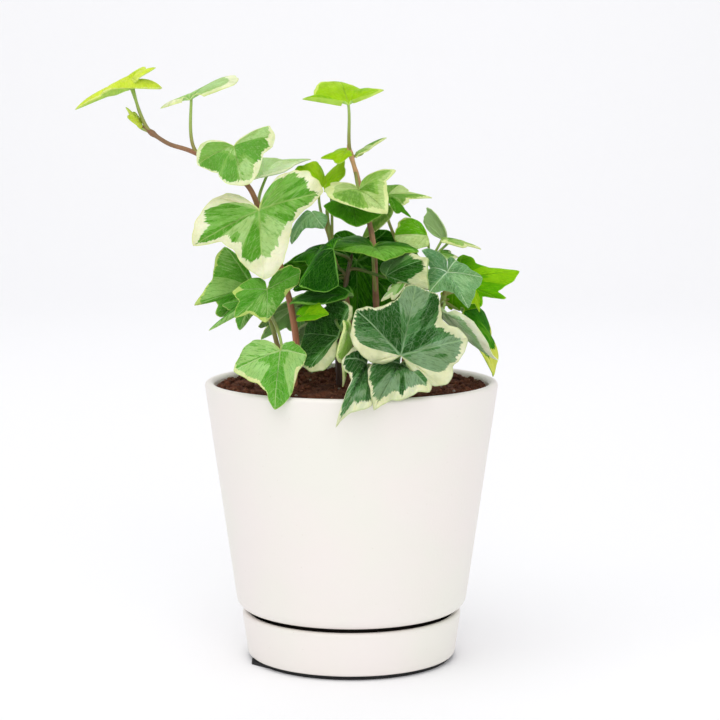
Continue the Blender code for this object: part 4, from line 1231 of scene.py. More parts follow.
def liftAt(row, share, spoke, ripple, droop):
    # how far the blade stands off its flat form, as a share of its length: arched, puffed between the veins,
    # grooved along them, rippled towards the edge, and drooping at the tip
    fromVein = min(abs(abs(spoke) - vein) for vein in veinDegrees)
    lift = 4 * row["arch"] * share * (1 - share)
    between = min(fromVein / blade["puffDeg"], 1.0)
    lift += blade["puff"] * math.sqrt(between) * share * (1 - share) * 4
    inGroove = max(0.0, 1 - fromVein / blade["grooveDeg"])
    depth = min(1.0, share * blade["grooveStart"]) * (1 - share * blade["grooveFade"])
    lift -= blade["groove"] * inGroove * depth
    lift += blade["ripple"] * share ** 3 * math.sin(ripple["waves"] * math.radians(spoke) + ripple["phase"])
    nearTip = max(0.0, share - blade["droopFrom"]) / (1 - blade["droopFrom"])
    return lift - blade["tipDroop"] * droop * nearTip ** 2 * max(0.0, 1 - fromVein / blade["droopDeg"])


def paintMarks(mesh, marks, spokes, shares):
    painted = {
        "edgeShare": shares,
        "creamFrom": [creamFromAt(marks, spoke) for spoke in spokes],
        "tone": [toneAt(marks, spoke, share) for spoke, share in zip(spokes, shares)],
    }
    for mark, values in painted.items():
        mesh.attributes.new(mark, "FLOAT", "POINT").data.foreach_set("value", values)


def thickenBlade(leaf):
    # the flat blade gets its thickness, less at the edge, and its lower side is marked as the underside
    oneSide = len(leaf.data.polygons)
    gaps = [gap.value for gap in leaf.data.attributes["edgeGap"].data]
    body = leaf.vertex_groups.new(name="bladeBody")
    for index, gap in enumerate(gaps):
        body.add([index], min(1.0, gap / blade["edgeBand"]), "REPLACE")
    thicken = leaf.modifiers.new("thickness", "SOLIDIFY")
    thicken.thickness = blade["thickness"] * mm
    thicken.offset = 0
    thicken.vertex_group = "bladeBody"
    thicken.thickness_vertex_group = blade["edgeThickness"]
    applyModifiers(leaf)
    mesh = leaf.data
    sides = [0.0] * oneSide + [1.0] * oneSide + [0.0] * (len(mesh.polygons) - 2 * oneSide)
    mesh.attributes.new("underside", "FLOAT", "FACE").data.foreach_set("value", sides)
    leaf.vertex_groups.clear()


def shapeLeaf(row, name, draw):
    # a copy of the flat leaf, laid over the leaf's own base and three lobe tips
    leaf = copyOf(flatLeaves[row["form"]], name)
    middle = row["tip"] - row["base"]
    up = leafUp(row)
    lobe = math.radians(blade["lobeDeg"])
    ripple = {"phase": draw.uniform(0, math.tau), "waves": draw.uniform(*blade["rippleWaves"])}
    droop = draw.uniform(*blade["droopChance"])
    mesh = leaf.data
    marks = leafMarks.get(row["form"]) or chanceMarks(leafLooks[row["look"]], draw)
    spokes = [spot.value for spot in mesh.attributes["spoke"].data]
    shares = []
    for vert, spoke in zip(mesh.vertices, spokes):
        turn = math.radians(abs(spoke))
        reach = vert.co.length
        share = min(1.0, reach / flatEdge(row["form"], spoke).length)
        shares.append(share)
        side = (row["left"] if spoke < 0 else row["right"]) - row["base"]
        flat = middle * (math.sin(lobe - turn) / math.sin(lobe)) + side * (math.sin(turn) / math.sin(lobe))
        lift = liftAt(row, share, spoke, ripple, droop) * middle.length
        vert.co = row["base"] + flat * reach + up * lift
    mesh.update()
    paintMarks(mesh, marks, spokes, shares)
    seeds = mesh.attributes.new("leafSeed", "FLOAT", "FACE")
    seeds.data.foreach_set("value", [row["seed"]] * len(mesh.polygons))
    mesh.transform(Matrix.Scale(mm, 4))
    thickenBlade(leaf)
    leaf.data.materials.append(leafMaterials[row["look"]])
    return leaf


# The stems: radius at the root and the tip, the way that each takes above the soil, and its leaves, in
# millimetres. A leaf is: share of the stem where its stalk starts, base, tip, left lobe, right lobe, form,
# look, and its arch where it isn't the usual one.
stems = {
    "arching": {
        "radii": (1.5, 0.8),
        "bark": "stemBark",
        "route": [
            (-23, -14, 117), (-22, -14, 130), (-24, -14, 145), (-27, -13, 157), (-31, -13, 171),
            (-36, -14, 183), (-41, -14, 194), (-51, -14, 202), (-64, -14, 208), (-73, -13, 211),
            (-82, -12, 217),
        ],
        "leaves": [
            (0.97, (-87, -13, 235), (-84, 4, 241), (-95, -11, 234), (-78, -9, 241), "young", "limePale"),
            (0.99, (-87, -12, 233), (-93, -30, 232), (-76, -8, 233), (-109, -14, 225),
             "young", "limePale", 0.14),
            (1, (-84, -13, 218), (-89, -15, 225), (-88, -17, 221), (-86, -9, 223), "young", "limePale"),
            (0.78, (-64, -12, 228), (-53, 10, 236), (-76, -10, 225), (-46, -12, 235),
             "arching_wing", "creamLight"),
            (0.66, (-46, -22, 210), (-42, -32, 195), (-32, -18, 218), (-60, -24, 203),
             "arching_cream", "creamLight"),
            (0.5, (-35, 2, 198), (-17, 10, 204), (-37, 12, 205), (-27, -10, 200), "round", "paleGrey"),
            (0.52, (-36, -26, 185), (-34, -34, 159), (-11, -22, 192), (-62, -22, 171),
             "arching_big", "creamEdged"),
        ],
    },
    "tall": {
        "radii": (1.5, 0.8),
        "bark": "tallBark",
        "route": [
            (11, 6, 117), (11, 6, 132), (10, 5, 147), (9, 4, 169), (6, 3, 184), (4, 2, 192),
            (1, 1, 202), (-1, 0, 209),
        ],
        "leaves": [
            (0.99, (-1, -4, 226), (-5, 20, 236), (-20, 8, 229), (13, 10, 232), "tall_crown", "lime"),
            (0.98, (-2, -1, 207), (-12, -8, 205), (-5, -12, 203), (-6, 8, 208), "young", "lime"),
            (0.93, (4, 4, 207), (14, 12, 213), (7, 16, 209), (7, -6, 208), "young", "limeEdged"),
            (0.84, (3, -5, 192), (14, -21, 184), (18, -5, 200), (-10, -14, 192), "tall_cream", "limeEdged"),
            (0.72, (0, 2, 188), (2, -13, 178), (14, -6, 184), (-11, -4, 186), "tall_under", "midGreen"),
            (0.6, (15, 4, 187), (4, 13, 171), (15, 5, 180), (10, 14, 180), "tall_folded", "limeEdged"),
            (0.64, (16, 0, 188), (24, 0, 181), (21, 2, 185), (18, -3, 183), "young", "midGreen"),
            (0.33, (9, -7, 169), (13, -26, 165), (27, -14, 168), (-8, -10, 169), "tall_flat", "midGreen"),
        ],
    },
    "slender": {
        "radii": (1.3, 0.7),
        "bark": "youngBark",
        "route": [(0, 8, 121), (-1, 8, 138), (-3, 8, 154), (-7, 8, 163), (-9, 8, 173), (-10, 8, 183)],
        "leaves": [
            (0.6, (-10, 8, 194), (-3, 13, 204), (-9, 17, 199), (-3, 2, 198), "heart", "lime"),
            (0.75, (-12, 6, 193), (-15, 14, 203), (-23, 6, 200), (-12, 18, 200), "heart", "lime"),
            (0.9, (-16, 0, 183), (-24, -8, 171), (-11, -8, 177), (-23, 2, 178),
             "slender_grey", "greyGreen"),
        ],
    },
    "rightBack": {
        "node": "ivy_stem_right_back",
        "radii": (1.3, 0.7),
        "bark": "youngBark",
        "route": [(22, 18, 120), (23, 18, 137), (23, 16, 150), (21, 14, 162), (19, 13, 170)],
        "leaves": [
            (0.99, (15, 16, 189), (33, 20, 188), (21, 30, 193), (21, 8, 186), "shallow", "limeEdged"),
            (0.35, (31, 8, 173), (18, 8, 173), (26, 2, 168), (22, 14, 180), "back_lime", "limeHalf"),
            (0.4, (38, 10, 171), (31, 14, 184), (37, 6, 179), (30, 16, 178), "back_pale", "paleGrey"),
            (0.45, (39, 4, 171), (53, 8, 168), (46, 14, 170), (45, -4, 169), "young", "limeEdged"),
            (0.3, (36, 2, 166), (43, -2, 165), (40, 6, 167), (41, -8, 163), "young", "creamLight"),
        ],
    },
    "right": {
        "radii": (1.3, 0.7),
        "bark": "youngBark",
        "route": [(30, -2, 118), (33, -2, 131), (36, -2, 143), (38, -3, 151)],
        "leaves": [
            (0.99, (38, -20, 160), (46, -28, 147), (52, -22, 158), (31, -28, 153),
             "right_star", "greyGreen"),
            (0.95, (43, 8, 154), (68, 4, 159), (46, 14, 165), (62, 0, 147), "right_lime", "limeGreen"),
            (0.8, (44, 4, 144), (58, -8, 118), (55, 12, 141), (49, -12, 132), "right_dark", "yellowEdged"),
            (0.7, (36, -16, 146), (57, -30, 126), (47, -34, 141), (41, -8, 138),
             "right_narrow", "greyStriped"),
            (0.9, (49, 0, 151), (52, -4, 143), (53, 4, 147), (48, -6, 147), "young", "lime"),
            (0.88, (42, 14, 147), (36, 10, 144), (41, 5, 143), (37, 15, 149), "young", "lime"),
        ],
    },
    "front": {
        "radii": (1.3, 0.7),
        "bark": "youngBark",
        "route": [(17, -20, 113), (17, -22, 121), (18, -24, 127)],
        "leaves": [
            (0.99, (19, -47, 130), (25, -38, 156), (2, -49, 148), (45, -43, 136),
             "front_wide", "greyEdged"),
            (0.8, (6, -44, 126), (-5, -73, 107), (8, -65, 113), (-3, -52, 129), "front_low", "greyEdged"),
            (0.6, (19, -41, 126), (9, -66, 112), (30, -61, 118), (7, -52, 126),
             "front_middle", "greyEdged"),
        ],
    },
    "left": {
        "radii": (1.3, 0.7),
        "bark": "youngBark",
        "route": [(-27, -8, 117), (-30, -8, 130), (-33, -9, 142), (-35, -10, 149)],
        "leaves": [
            (0.99, (-40, -8, 153), (-62, -18, 147), (-52, -16, 142), (-51, -4, 169),
             "left_outer", "mossGreen"),
            (0.95, (-33, -30, 154), (-33, -36, 142), (-20, -22, 160), (-45, -38, 144),
             "left_star", "mossGreen"),
            (0.8, (-40, -18, 148), (-56, -26, 138), (-44, -26, 138), (-51, -18, 147), "pointed", "green"),
            (0.6, (-27, -48, 132), (-29, -58, 111), (-17, -48, 130), (-45, -46, 124), "left_low", "green"),
        ],
    },
    "middle": {
        "radii": (1.3, 0.7),
        "bark": "shadedInnerBark",
        "route": [(-5, -10, 114), (-5, -10, 130), (-4, -9, 144), (-2, -7, 156), (0, -5, 165)],
        "leaves": [
            (0.99, (-7, -18, 169), (-20, -34, 156), (-5, -32, 156), (-15, -16, 166),
             "middle_drooping", "deepGreen"),
            (0.85, (14, -14, 158), (30, -28, 166), (21, -8, 167), (30, -30, 154),
             "middle_star", "darkEdged"),
            (0.8, (-13, -6, 168), (-23, -16, 164), (-16, -20, 163), (-18, -2, 168), "young", "deepGreen"),
            (0.7, (1, -12, 150), (-24, -24, 148), (-11, -28, 149), (-12, -2, 154),
             "middle_long", "deepGreen"),
            (0.55, (-5, -26, 135), (-19, -15, 135), (-17, -30, 122), (0, -24, 147),
             "middle_low", "darkEdged"),
            (0.75, (-7, -6, 157), (-23, -14, 153), (-14, -10, 149), (-16, -6, 159), "broad", "deepGreen"),
            (0.5, (-19, -30, 143), (-9, -34, 145), (-14, -26, 149), (-14, -38, 143), "heart", "limeGreen"),
            (0.4, (-2, -40, 139), (-3, -46, 118), (0, -36, 130), (-5, -46, 130), "young", "limeEdged"),
            (0.3, (21, -20, 156), (12, -24, 149), (17, -26, 150), (15, -16, 154), "young", "creamLight"),
        ],
    },
    "back": {
        "radii": (1.3, 0.7),
        "bark": "shadedInnerBark",
        "route": [(-6, 30, 110), (-6, 31, 122), (-7, 33, 138), (-5, 33, 152), (0, 32, 160)],
        "leaves": [
            (0.99, (6, 27, 168), (16, 38, 150), (28, 28, 163), (-6, 36, 160), "broad", "deepGreen"),
            (0.98, (-10, 28, 163), (-24, 36, 148), (0, 40, 150), (-30, 24, 158), "broad", "deepGreen"),
            (0.99, (-4, 42, 156), (-5, 63, 143), (-22, 48, 150), (14, 50, 151), "broad", "creamEdged"),
            (0.8, (-22, 38, 142), (-39, 52, 126), (-40, 34, 134), (-22, 54, 130), "broad", "green"),
            (0.8, (14, 42, 140), (31, 55, 126), (12, 58, 131), (33, 38, 134), "broad", "darkEdged"),
            (0.55, (-9, 48, 131), (-12, 64, 112), (-26, 54, 122), (7, 56, 122), "broad", "greyEdged"),
            (0.5, (20, 36, 130), (36, 43, 120), (22, 50, 121), (36, 27, 125), "broad", "green"),
            (0.9, (2, 14, 162), (3, 14, 130), (22, 13, 144), (-12, 15, 147), "heart", "deepGreen"),
        ],
    },
}

usedForms = sorted({entry[5] for stem in stems.values() for entry in stem["leaves"]})
flatLeaves = {form: modelFlatLeaf(form) for form in usedForms}
print("flat leaves modelled:", len(flatLeaves))

stalk = {
    "rootLow": 98,
    "coarseSteps": 3,
    "routeSteps": 12,
    "stalkSteps": 14,
    "stalkRadii": (0.8, 0.55),
    "stalkSunk": 1.2,
    "startReach": 0.25, "endReach": 0.35, "endAlong": 0.6, "endUp": 0.8,
    "usualLeaf": 22, "smallLeafStalk": 0.72,
    "collar": 1.15,
    "nodeSwell": 0.3, "nodeLength": 1.5,
    "tip": ((0.8, 0.8), (1.6, 0.3)),
    "usualArch": 0.05,
    "seedStep": 0.137,
    "tubeSides": 4,
}


def leafRow(entry, seed):
    along, base, tip, left, right, form, look = entry[:7]
    return {
        "along": along, "base": Vector(base), "tip": Vector(tip), "left": Vector(left),
        "right": Vector(right), "form": form, "look": look, "seed": seed,
        "arch": entry[7] if len(entry) > 7 else stalk["usualArch"],
    }


def smoothRoute(points, steps):
    # points along a smooth curve through the given ones
    points = [Vector(p) for p in points]
    padded = [2 * points[0] - points[1], *points, 2 * points[-1] - points[-2]]
    route = []
    for a, b, c, d in zip(padded, padded[1:], padded[2:], padded[3:]):
        for k in range(steps):
            t = k / steps
            bend = (2 * a - 5 * b + 4 * c - d) * t**2 + (3 * b - a - 3 * c + d) * t**3
            route.append(0.5 * (2 * b + (c - a) * t + bend))
    return [*route, points[-1]]


def stalkRoute(row, start, heading):
    # a leaf stalk's curve, from inside the stem to a little way under the blade
    chord = (row["tip"] - row["base"]).normalized()
    end = row["base"] + chord * stalk["stalkSunk"]
    span = (end - start).length
    first = start + heading * span * stalk["startReach"]
    last = end - (chord * stalk["endAlong"] + leafUp(row) * stalk["endUp"]) * span * stalk["endReach"]
    route = []
    for k in range(stalk["stalkSteps"] + 1):
        t = k / stalk["stalkSteps"]
        bend = first * 3 * t * (1 - t) ** 2 + last * 3 * t * t * (1 - t)
        route.append(start * (1 - t) ** 3 + bend + end * t**3)
    return route


def drawTubes(name, runs, material):
    # a curve with one run of (place, radius) points for each tube, made a mesh
    selectNothing()
    bpy.ops.curve.primitive_bezier_curve_add()
    tubes = bpy.context.object
    tubes.name = name
    curve = tubes.data
    curve.splines.clear()
    for run in runs:
        line = curve.splines.new("POLY")
        line.points.add(len(run) - 1)
        for spot, (place, radius) in zip(line.points, run):
            spot.co = (*(place * mm), 1)
            spot.radius = radius
    curve.dimensions = "3D"
    curve.bevel_depth = mm
    curve.bevel_resolution = stalk["tubeSides"]
    curve.use_fill_caps = True
    curve.materials.append(material)
    bpy.ops.object.convert(target="MESH")
    tubes = bpy.context.object
    bpy.ops.object.shade_smooth()
    return tubes


def stemRun(fine, starts, radii):
    # the stem's own places and radii, with a swelling where each leaf stalk starts and a rounded tip
    low, high = radii
    run = []
    for k, place in enumerate(fine):
        radius = low + (high - low) * k / (len(fine) - 1)
        for start in starts:
            near = math.exp(-(((place - start[0]).length / stalk["nodeLength"]) ** 2))
            radius += low * stalk["nodeSwell"] * near / len(starts) ** 0.5
        run.append((place, radius))
    heading = (fine[-1] - fine[-2]).normalized()
    return run + [(fine[-1] + heading * past, high * share) for past, share in stalk["tip"]]


def stalkRun(row, start, heading):
    # a leaf stalk's places and radii; a small leaf has a thinner one
    route = stalkRoute(row, start, heading)
    thick, thin = stalk["stalkRadii"]
    size = min(1.0, (row["tip"] - row["base"]).length / stalk["usualLeaf"])
    scale = stalk["smallLeafStalk"] + (1 - stalk["smallLeafStalk"]) * size
    last = len(route) - 1
    radii = [(thick + (thin - thick) * k / last) * scale for k in range(last + 1)]
    radii[1] *= stalk["collar"]
    return list(zip(route, radii))


def growStem(label, stem, firstSeed):
    node = stem.get("node", "ivy_stem_" + label)
    title = label[0].upper() + label[1:]
    rows = []
    for number, entry in enumerate(stem["leaves"]):
        rows.append(leafRow(entry, stalk["seedStep"] * (firstSeed + number) % 1.0))
    x, y = stem["route"][0][:2]
    anchors = [(x, y, stalk["rootLow"]), *stem["route"]]
    above = smoothRoute(anchors, stalk["coarseSteps"])[stalk["coarseSteps"]:]
    starts = []
    for row in rows:
        at = min(int(row["along"] * (len(above) - 1)), len(above) - 2)
        starts.append((above[at], (above[at + 1] - above[at]).normalized()))
    main = stemRun(smoothRoute(anchors, stalk["routeSteps"]), starts, stem["radii"])
    stemTube = drawTubes("stem_" + label, [main], stalkMaterials[stem["bark"]])
    runs = [stalkRun(row, *start) for row, start in zip(rows, starts)]
    # the stems with painted shade get the stalk colour with painted shade
    stalkLook = "shadedInnerStalk" if stem["bark"] == "shadedInnerBark" else "leafStalkGreen"
    stalks = drawTubes("stalks_" + label, runs, stalkMaterials[stalkLook])
    stalks = joinAll([stemTube, stalks], "stemAndStalks" + title)
    draw = random.Random(firstSeed)
    leaves = [shapeLeaf(row, f"leaf_{label}_{i}", draw) for i, row in enumerate(rows)]
    leaves = joinAll(leaves, "leaves" + title)
    workOn(leaves)
    bpy.ops.object.shade_smooth_by_angle(angle=math.radians(blade["smoothDeg"]))
    for piece in (stalks, leaves):
        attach(piece, "root")
        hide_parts(node)
    return stalks, leaves


seedNow = 3
for label, stem in stems.items():
    stalks, leaves = growStem(label, stem, seedNow)
    seedNow += len(stem["leaves"])
    print("grown:", label, len(leaves.data.polygons), "leaf faces", len(stalks.data.polygons), "stem faces")
for leaf in flatLeaves.values():
    discard(leaf)


# The glazed pot and its saucer, in millimetres. A fillet is its size and its number of steps.
pot = {
    "sides": 144, "smoothDeg": 35,
    "rimRadius": 60, "height": 114.5, "lowRadius": 46.7, "underside": 21, "wall": 4, "floor": 5,
    "footRing": (33, 37), "footBottom": 6, "drainRadius": 6,
    "lipFillet": (1.9, 8), "lowFillet": (4.4, 6), "innerFillet": (5, 4), "footFillet": (0.8, 3),
}
saucer = {
    "sides": 144, "smoothDeg": 35,
    "footRadius": 42.6, "rimRadius": 45.2, "underside": 1.5, "top": 19.6, "wall": 3.6, "floor": 4.2,
    "rimFillet": (1.6, 8), "footFillet": (1.2, 6), "innerFillet": (2.5, 4),
}


glaze = {
    "warm": (243, 236, 231), "cool": (240, 238, 229), "clouds": (0.3, 0.7),
    "patch": (243, 236, 232), "patches": (0.4, 0.75),
    "speck": (214, 204, 190), "speckScale": 190.0, "specks": (0.03, 0.07, 0.25, 0.0),
    # painted shade: a near-black colour for the gap between the pot's underside and the saucer
    "paintedGapShade": (44, 36, 31), "gapShadeBelow": (21.1, 21.3), "gapShadeWithin": (42.0, 42.4),
    "cloudScale": 22.0, "grainScale": 900.0, "grainHeight": 0.15, "bumpStrength": 0.12, "bumpDistance": 0.002,
    "roughness": (0.3, 0.7, 0.36, 0.44), "specular": 0.45,
}


def paintedGapShadeMask(tree, place):
    # 1 where painted shade darkens the gap between pot and saucer: the pot's underside, and the saucer's
    # inside and underside
    spot = splitUp(tree, place)
    flat = combine(tree, spot["X"], spot["Y"])
    fromAxis = addNode(tree, "ShaderNodeVectorMath", {0: flat}, operation="LENGTH").outputs["Value"]
    low, high = glaze["gapShadeBelow"]
    near, far = glaze["gapShadeWithin"]
    below = ramp(tree, spot["Z"], low * mm, high * mm, 1.0, 0.0)
    return calc(tree, "MULTIPLY", ramp(tree, fromAxis, near * mm, far * mm, 1.0, 0.0), below)


def glazeMaterial():
    # warm white satin glaze, very slightly cloudy, with a few fine specks, and near-black painted shade in
    # the gap under the pot
    material, tree, shader = newMaterial("creamGlaze")
    place = objectPlace(tree)
    mottle = mottleAt(tree, place, glaze["cloudScale"], glaze["grainScale"])
    specks = addNode(tree, "ShaderNodeTexVoronoi", {"Vector": place, "Scale": glaze["speckScale"]})
    colour = srgb(*glaze["warm"])
    for mask, tint in (
        (ramp(tree, mottle["Cloud"], *glaze["clouds"]), "cool"),
        (ramp(tree, mottle["Second Cloud"], *glaze["patches"]), "patch"),
        (ramp(tree, specks.outputs["Distance"], *glaze["specks"]), "speck"),
        # painted shade in the gap under the pot
        (paintedGapShadeMask(tree, place), "paintedGapShade"),
    ):
        colour = blendColour(tree, mask, colour, srgb(*glaze[tint]))
    height = calc(tree, "MULTIPLY_ADD", mottle["Grain"], glaze["grainHeight"], mottle["Cloud"])
    feedAll(tree, shader, {
        "Base Color": colour,
        "Roughness": ramp(tree, mottle["Second Cloud"], *glaze["roughness"]),
        "Normal": bumpOf(tree, height, glaze["bumpStrength"], glaze["bumpDistance"]),
        "Specular IOR Level": glaze["specular"],
    })
    return material


creamGlaze = glazeMaterial()


def turnVessel(name, sides, lowRadius, highRadius, low, high):
    # a tapered solid from a cone primitive, with its place in its mesh
    selectNothing()
    bpy.ops.mesh.primitive_cone_add(
        vertices=sides, radius1=lowRadius * mm, radius2=highRadius * mm, depth=(high - low) * mm,
        end_fill_type="NGON", location=(0, 0, (low + high) / 2 * mm),
    )
    vessel = bpy.context.object
    vessel.name = name
    settle(vessel)
    return vessel


def levelFaces(height, side):
    # the test for faces at this height that look up, or down where side is -1
    return lambda centre, normal: side * normal.z > 0.9 and abs(centre.z - height * mm) < 0.1 * mm


def hollowOut(vessel, wall, top, floor, innerTop, innerFloor):
    # the top face is inset by the wall, then pushed down to the floor and drawn in to the inner wall's slope
    pickFaces(vessel, levelFaces(top, 1))
    bpy.ops.mesh.inset(thickness=wall * mm)
    bpy.ops.mesh.extrude_region_move(TRANSFORM_OT_translate={"value": (0, 0, (floor - top) * mm)})
    scale = innerFloor / innerTop
    bpy.ops.transform.resize(value=(scale, scale, 1), center_override=(0, 0, floor * mm))


def roundEdge(vessel, radius, height, fillet):
    size, steps = fillet
    pickRing(vessel, radius * mm, height * mm)
    bpy.ops.mesh.bevel(offset=size * mm, segments=steps, profile=0.5, affect="EDGES", clamp_overlap=True)


def modelPot():
    vessel = turnVessel("pot_glazed", pot["sides"], pot["lowRadius"], pot["rimRadius"], pot["underside"],
                        pot["height"])
    slope = (pot["rimRadius"] - pot["lowRadius"]) / (pot["height"] - pot["underside"])
    floor = pot["underside"] + pot["floor"]
    innerTop = pot["rimRadius"] - pot["wall"]
    innerFloor = innerTop - (pot["height"] - floor) * slope
    ringIn, ringOut = pot["footRing"]
    editAll(vessel)
    hollowOut(vessel, pot["wall"], pot["height"], floor, innerTop, innerFloor)
    bpy.ops.mesh.inset(thickness=(innerFloor - pot["drainRadius"]) * mm)
    underside = levelFaces(pot["underside"], -1)
    pickFaces(vessel, underside)
    bpy.ops.mesh.inset(thickness=(pot["lowRadius"] - ringOut) * mm)
    bpy.ops.mesh.inset(thickness=(ringOut - ringIn) * mm)
    bpy.ops.mesh.inset(thickness=(ringIn - pot["drainRadius"]) * mm)
    middleRing = (ringIn + ringOut) / 2
    pickFaces(vessel, lambda centre, normal: underside(centre, normal)
              and abs(math.hypot(centre.x, centre.y) - middleRing * mm) < 0.5 * mm)
    bpy.ops.mesh.extrude_region_move(
        TRANSFORM_OT_translate={"value": (0, 0, (pot["footBottom"] - pot["underside"]) * mm)}
    )
    pickFaces(vessel, lambda centre, normal: abs(normal.z) > 0.9 and math.hypot(centre.x, centre.y) < mm)
    bpy.ops.mesh.bridge_edge_loops()
    roundEdge(vessel, pot["rimRadius"], pot["height"], pot["lipFillet"])
    roundEdge(vessel, innerTop, pot["height"], pot["lipFillet"])
    roundEdge(vessel, pot["lowRadius"], pot["underside"], pot["lowFillet"])
    roundEdge(vessel, innerFloor, floor, pot["innerFillet"])
    roundEdge(vessel, ringOut, pot["footBottom"], pot["footFillet"])
    leaveEdit()
    bpy.ops.object.shade_smooth_by_angle(angle=math.radians(pot["smoothDeg"]))
    vessel.data.materials.append(creamGlaze)
    return vessel


def modelSaucer():
    dish = turnVessel("saucer_glazed", saucer["sides"], saucer["footRadius"], saucer["rimRadius"],
                      saucer["underside"], saucer["top"])
    floor = saucer["underside"] + saucer["floor"]
    innerTop = saucer["rimRadius"] - saucer["wall"]
    innerFloor = saucer["footRadius"] - saucer["wall"]
    editAll(dish)
    hollowOut(dish, saucer["wall"], saucer["top"], floor, innerTop, innerFloor)
    roundEdge(dish, saucer["rimRadius"], saucer["top"], saucer["rimFillet"])
    roundEdge(dish, innerTop, saucer["top"], saucer["rimFillet"])
    roundEdge(dish, saucer["footRadius"], saucer["underside"], saucer["footFillet"])
    roundEdge(dish, innerFloor, floor, saucer["innerFillet"])
    leaveEdit()
    bpy.ops.object.shade_smooth_by_angle(angle=math.radians(saucer["smoothDeg"]))
    dish.data.materials.append(creamGlaze)
    return dish


for piece, node in ((modelPot(), "pot"), (modelSaucer(), "saucer")):
    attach(piece, "root")
    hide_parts(node)
print("pot and saucer turned")


# The non-slip pad keeps its own mesh and gets rubber
rubber = {
    "dark": (16, 16, 17), "light": (34, 34, 36),
    "cloudScale": 60.0, "grainScale": 2500.0, "bumpStrength": 0.6, "bumpDistance": 0.0003,
    "roughness": (0.3, 0.7, 0.62, 0.85),
}


def rubberMaterial():
    material, tree, shader = newMaterial("padRubber")
    mottle = mottleAt(tree, objectPlace(tree), rubber["cloudScale"], rubber["grainScale"])
    feedAll(tree, shader, {
        "Base Color": blendColour(tree, mottle["Cloud"], srgb(*rubber["dark"]), srgb(*rubber["light"])),
        "Roughness": ramp(tree, mottle["Grain"], *rubber["roughness"]),
        "Normal": bumpOf(tree, mottle["Grain"], rubber["bumpStrength"], rubber["bumpDistance"]),
    })
    return material


padRubber = rubberMaterial()
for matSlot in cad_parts["nonslip_pad"].material_slots:
    matSlot.material = padRubber


# The soil: a rough bed, with crumbs and fibres on it. Lengths are in millimetres, and a reach is a share of
# the way from the axis to the edge.
soil = {
    "belowRim": 2.4, "mound": 1.2, "lump": 0.8, "gap": 0.45, "aboveFloor": 0.3,
    "lowStep": 4, "lowInset": 4,
    "sides": 200, "rings": 62, "smoothDeg": 50,
    "lumps": {"size": 5.5, "strength": 2.4}, "crumble": {"size": 1.7, "strength": 1.12},
    "noiseDepth": 3, "calmEdge": 0.985, "calmShare": 0.35,
    "seed": 41, "widths": (0.7, 1.1), "heights": (0.55, 0.9),
    "crumbs": 950, "crumbKinds": 4, "crumbSizes": (0.7, 0.9, 1.2, 1.6, 2.2, 2.9), "crumbReach": 0.975,
    "edgeBand": (0.9, 0.97), "edgeRoom": 1.8, "edgeSize": 0.8, "crumbLift": 0.2, "crumbTilt": (0, 3),
    "grit": 26, "gritSizes": (0.8, 1.7), "gritReach": 0.95, "gritLift": 0.5,
    "fibres": 420, "fibreSizes": (0.4, 0.95), "fibreReach": 0.88, "fibreBends": (0.8, 1.6, 2.6),
    "fibreLift": (0.3, 1.1), "fibreTilt": (-0.35, 0.35),
}


def potInnerRadius(z):
    slope = (pot["rimRadius"] - pot["lowRadius"]) / (pot["height"] - pot["underside"])
    return pot["rimRadius"] - pot["wall"] - (pot["height"] - z) * slope


def soilHeight(share, angle):
    mound = soil["mound"] * (1 - share * share)
    lumps = math.sin(3 * angle + 5 * share) + math.cos(5 * angle - 7 * share)
    return pot["height"] - soil["belowRim"] + mound + soil["lump"] * lumps * share * (1 - share)


peat = {
    "cloudScale": 130.0, "grainScale": 1400.0, "clouds": (0.35, 0.7),
    "threads": {"scale": 600.0, "detail": 5.0, "roughness": 0.7, "distortion": 1.6},
    "threadEnds": (0.52, 0.72),
    "grainHeight": 0.5, "bumpStrength": 0.9, "bumpDistance": 0.0008,
    "roughness": (0.3, 0.7, 0.85, 0.98), "specular": 0.2,
}


def soilMaterial(name, dark, light, red):
    material, tree, shader = newMaterial(name)
    place = objectPlace(tree)
    mottle = mottleAt(tree, place, peat["cloudScale"], peat["grainScale"])
    threads = noise(tree, place, **peat["threads"])["Fac"]
    colour = blendColour(tree, ramp(tree, mottle["Cloud"], *peat["clouds"]), srgb(*dark), srgb(*red))
    height = calc(tree, "ADD", threads, calc(tree, "MULTIPLY", mottle["Grain"], peat["grainHeight"]))
    feedAll(tree, shader, {
        "Base Color": blendColour(tree, ramp(tree, threads, *peat["threadEnds"]), colour, srgb(*light)),
        "Roughness": ramp(tree, mottle["Cloud"], *peat["roughness"]),
        "Normal": bumpOf(tree, height, peat["bumpStrength"], peat["bumpDistance"]),
        "Specular IOR Level": peat["specular"],
    })
    return material


peatBrown = soilMaterial("peatBrown", (84, 50, 36), (156, 108, 82), (116, 68, 48))
gritPale = soilMaterial("gritPale", (150, 140, 130), (206, 200, 190), (176, 166, 156))


soilEdge = pot["height"] - soil["belowRim"]
soilRadius = potInnerRadius(soilEdge) - soil["gap"]


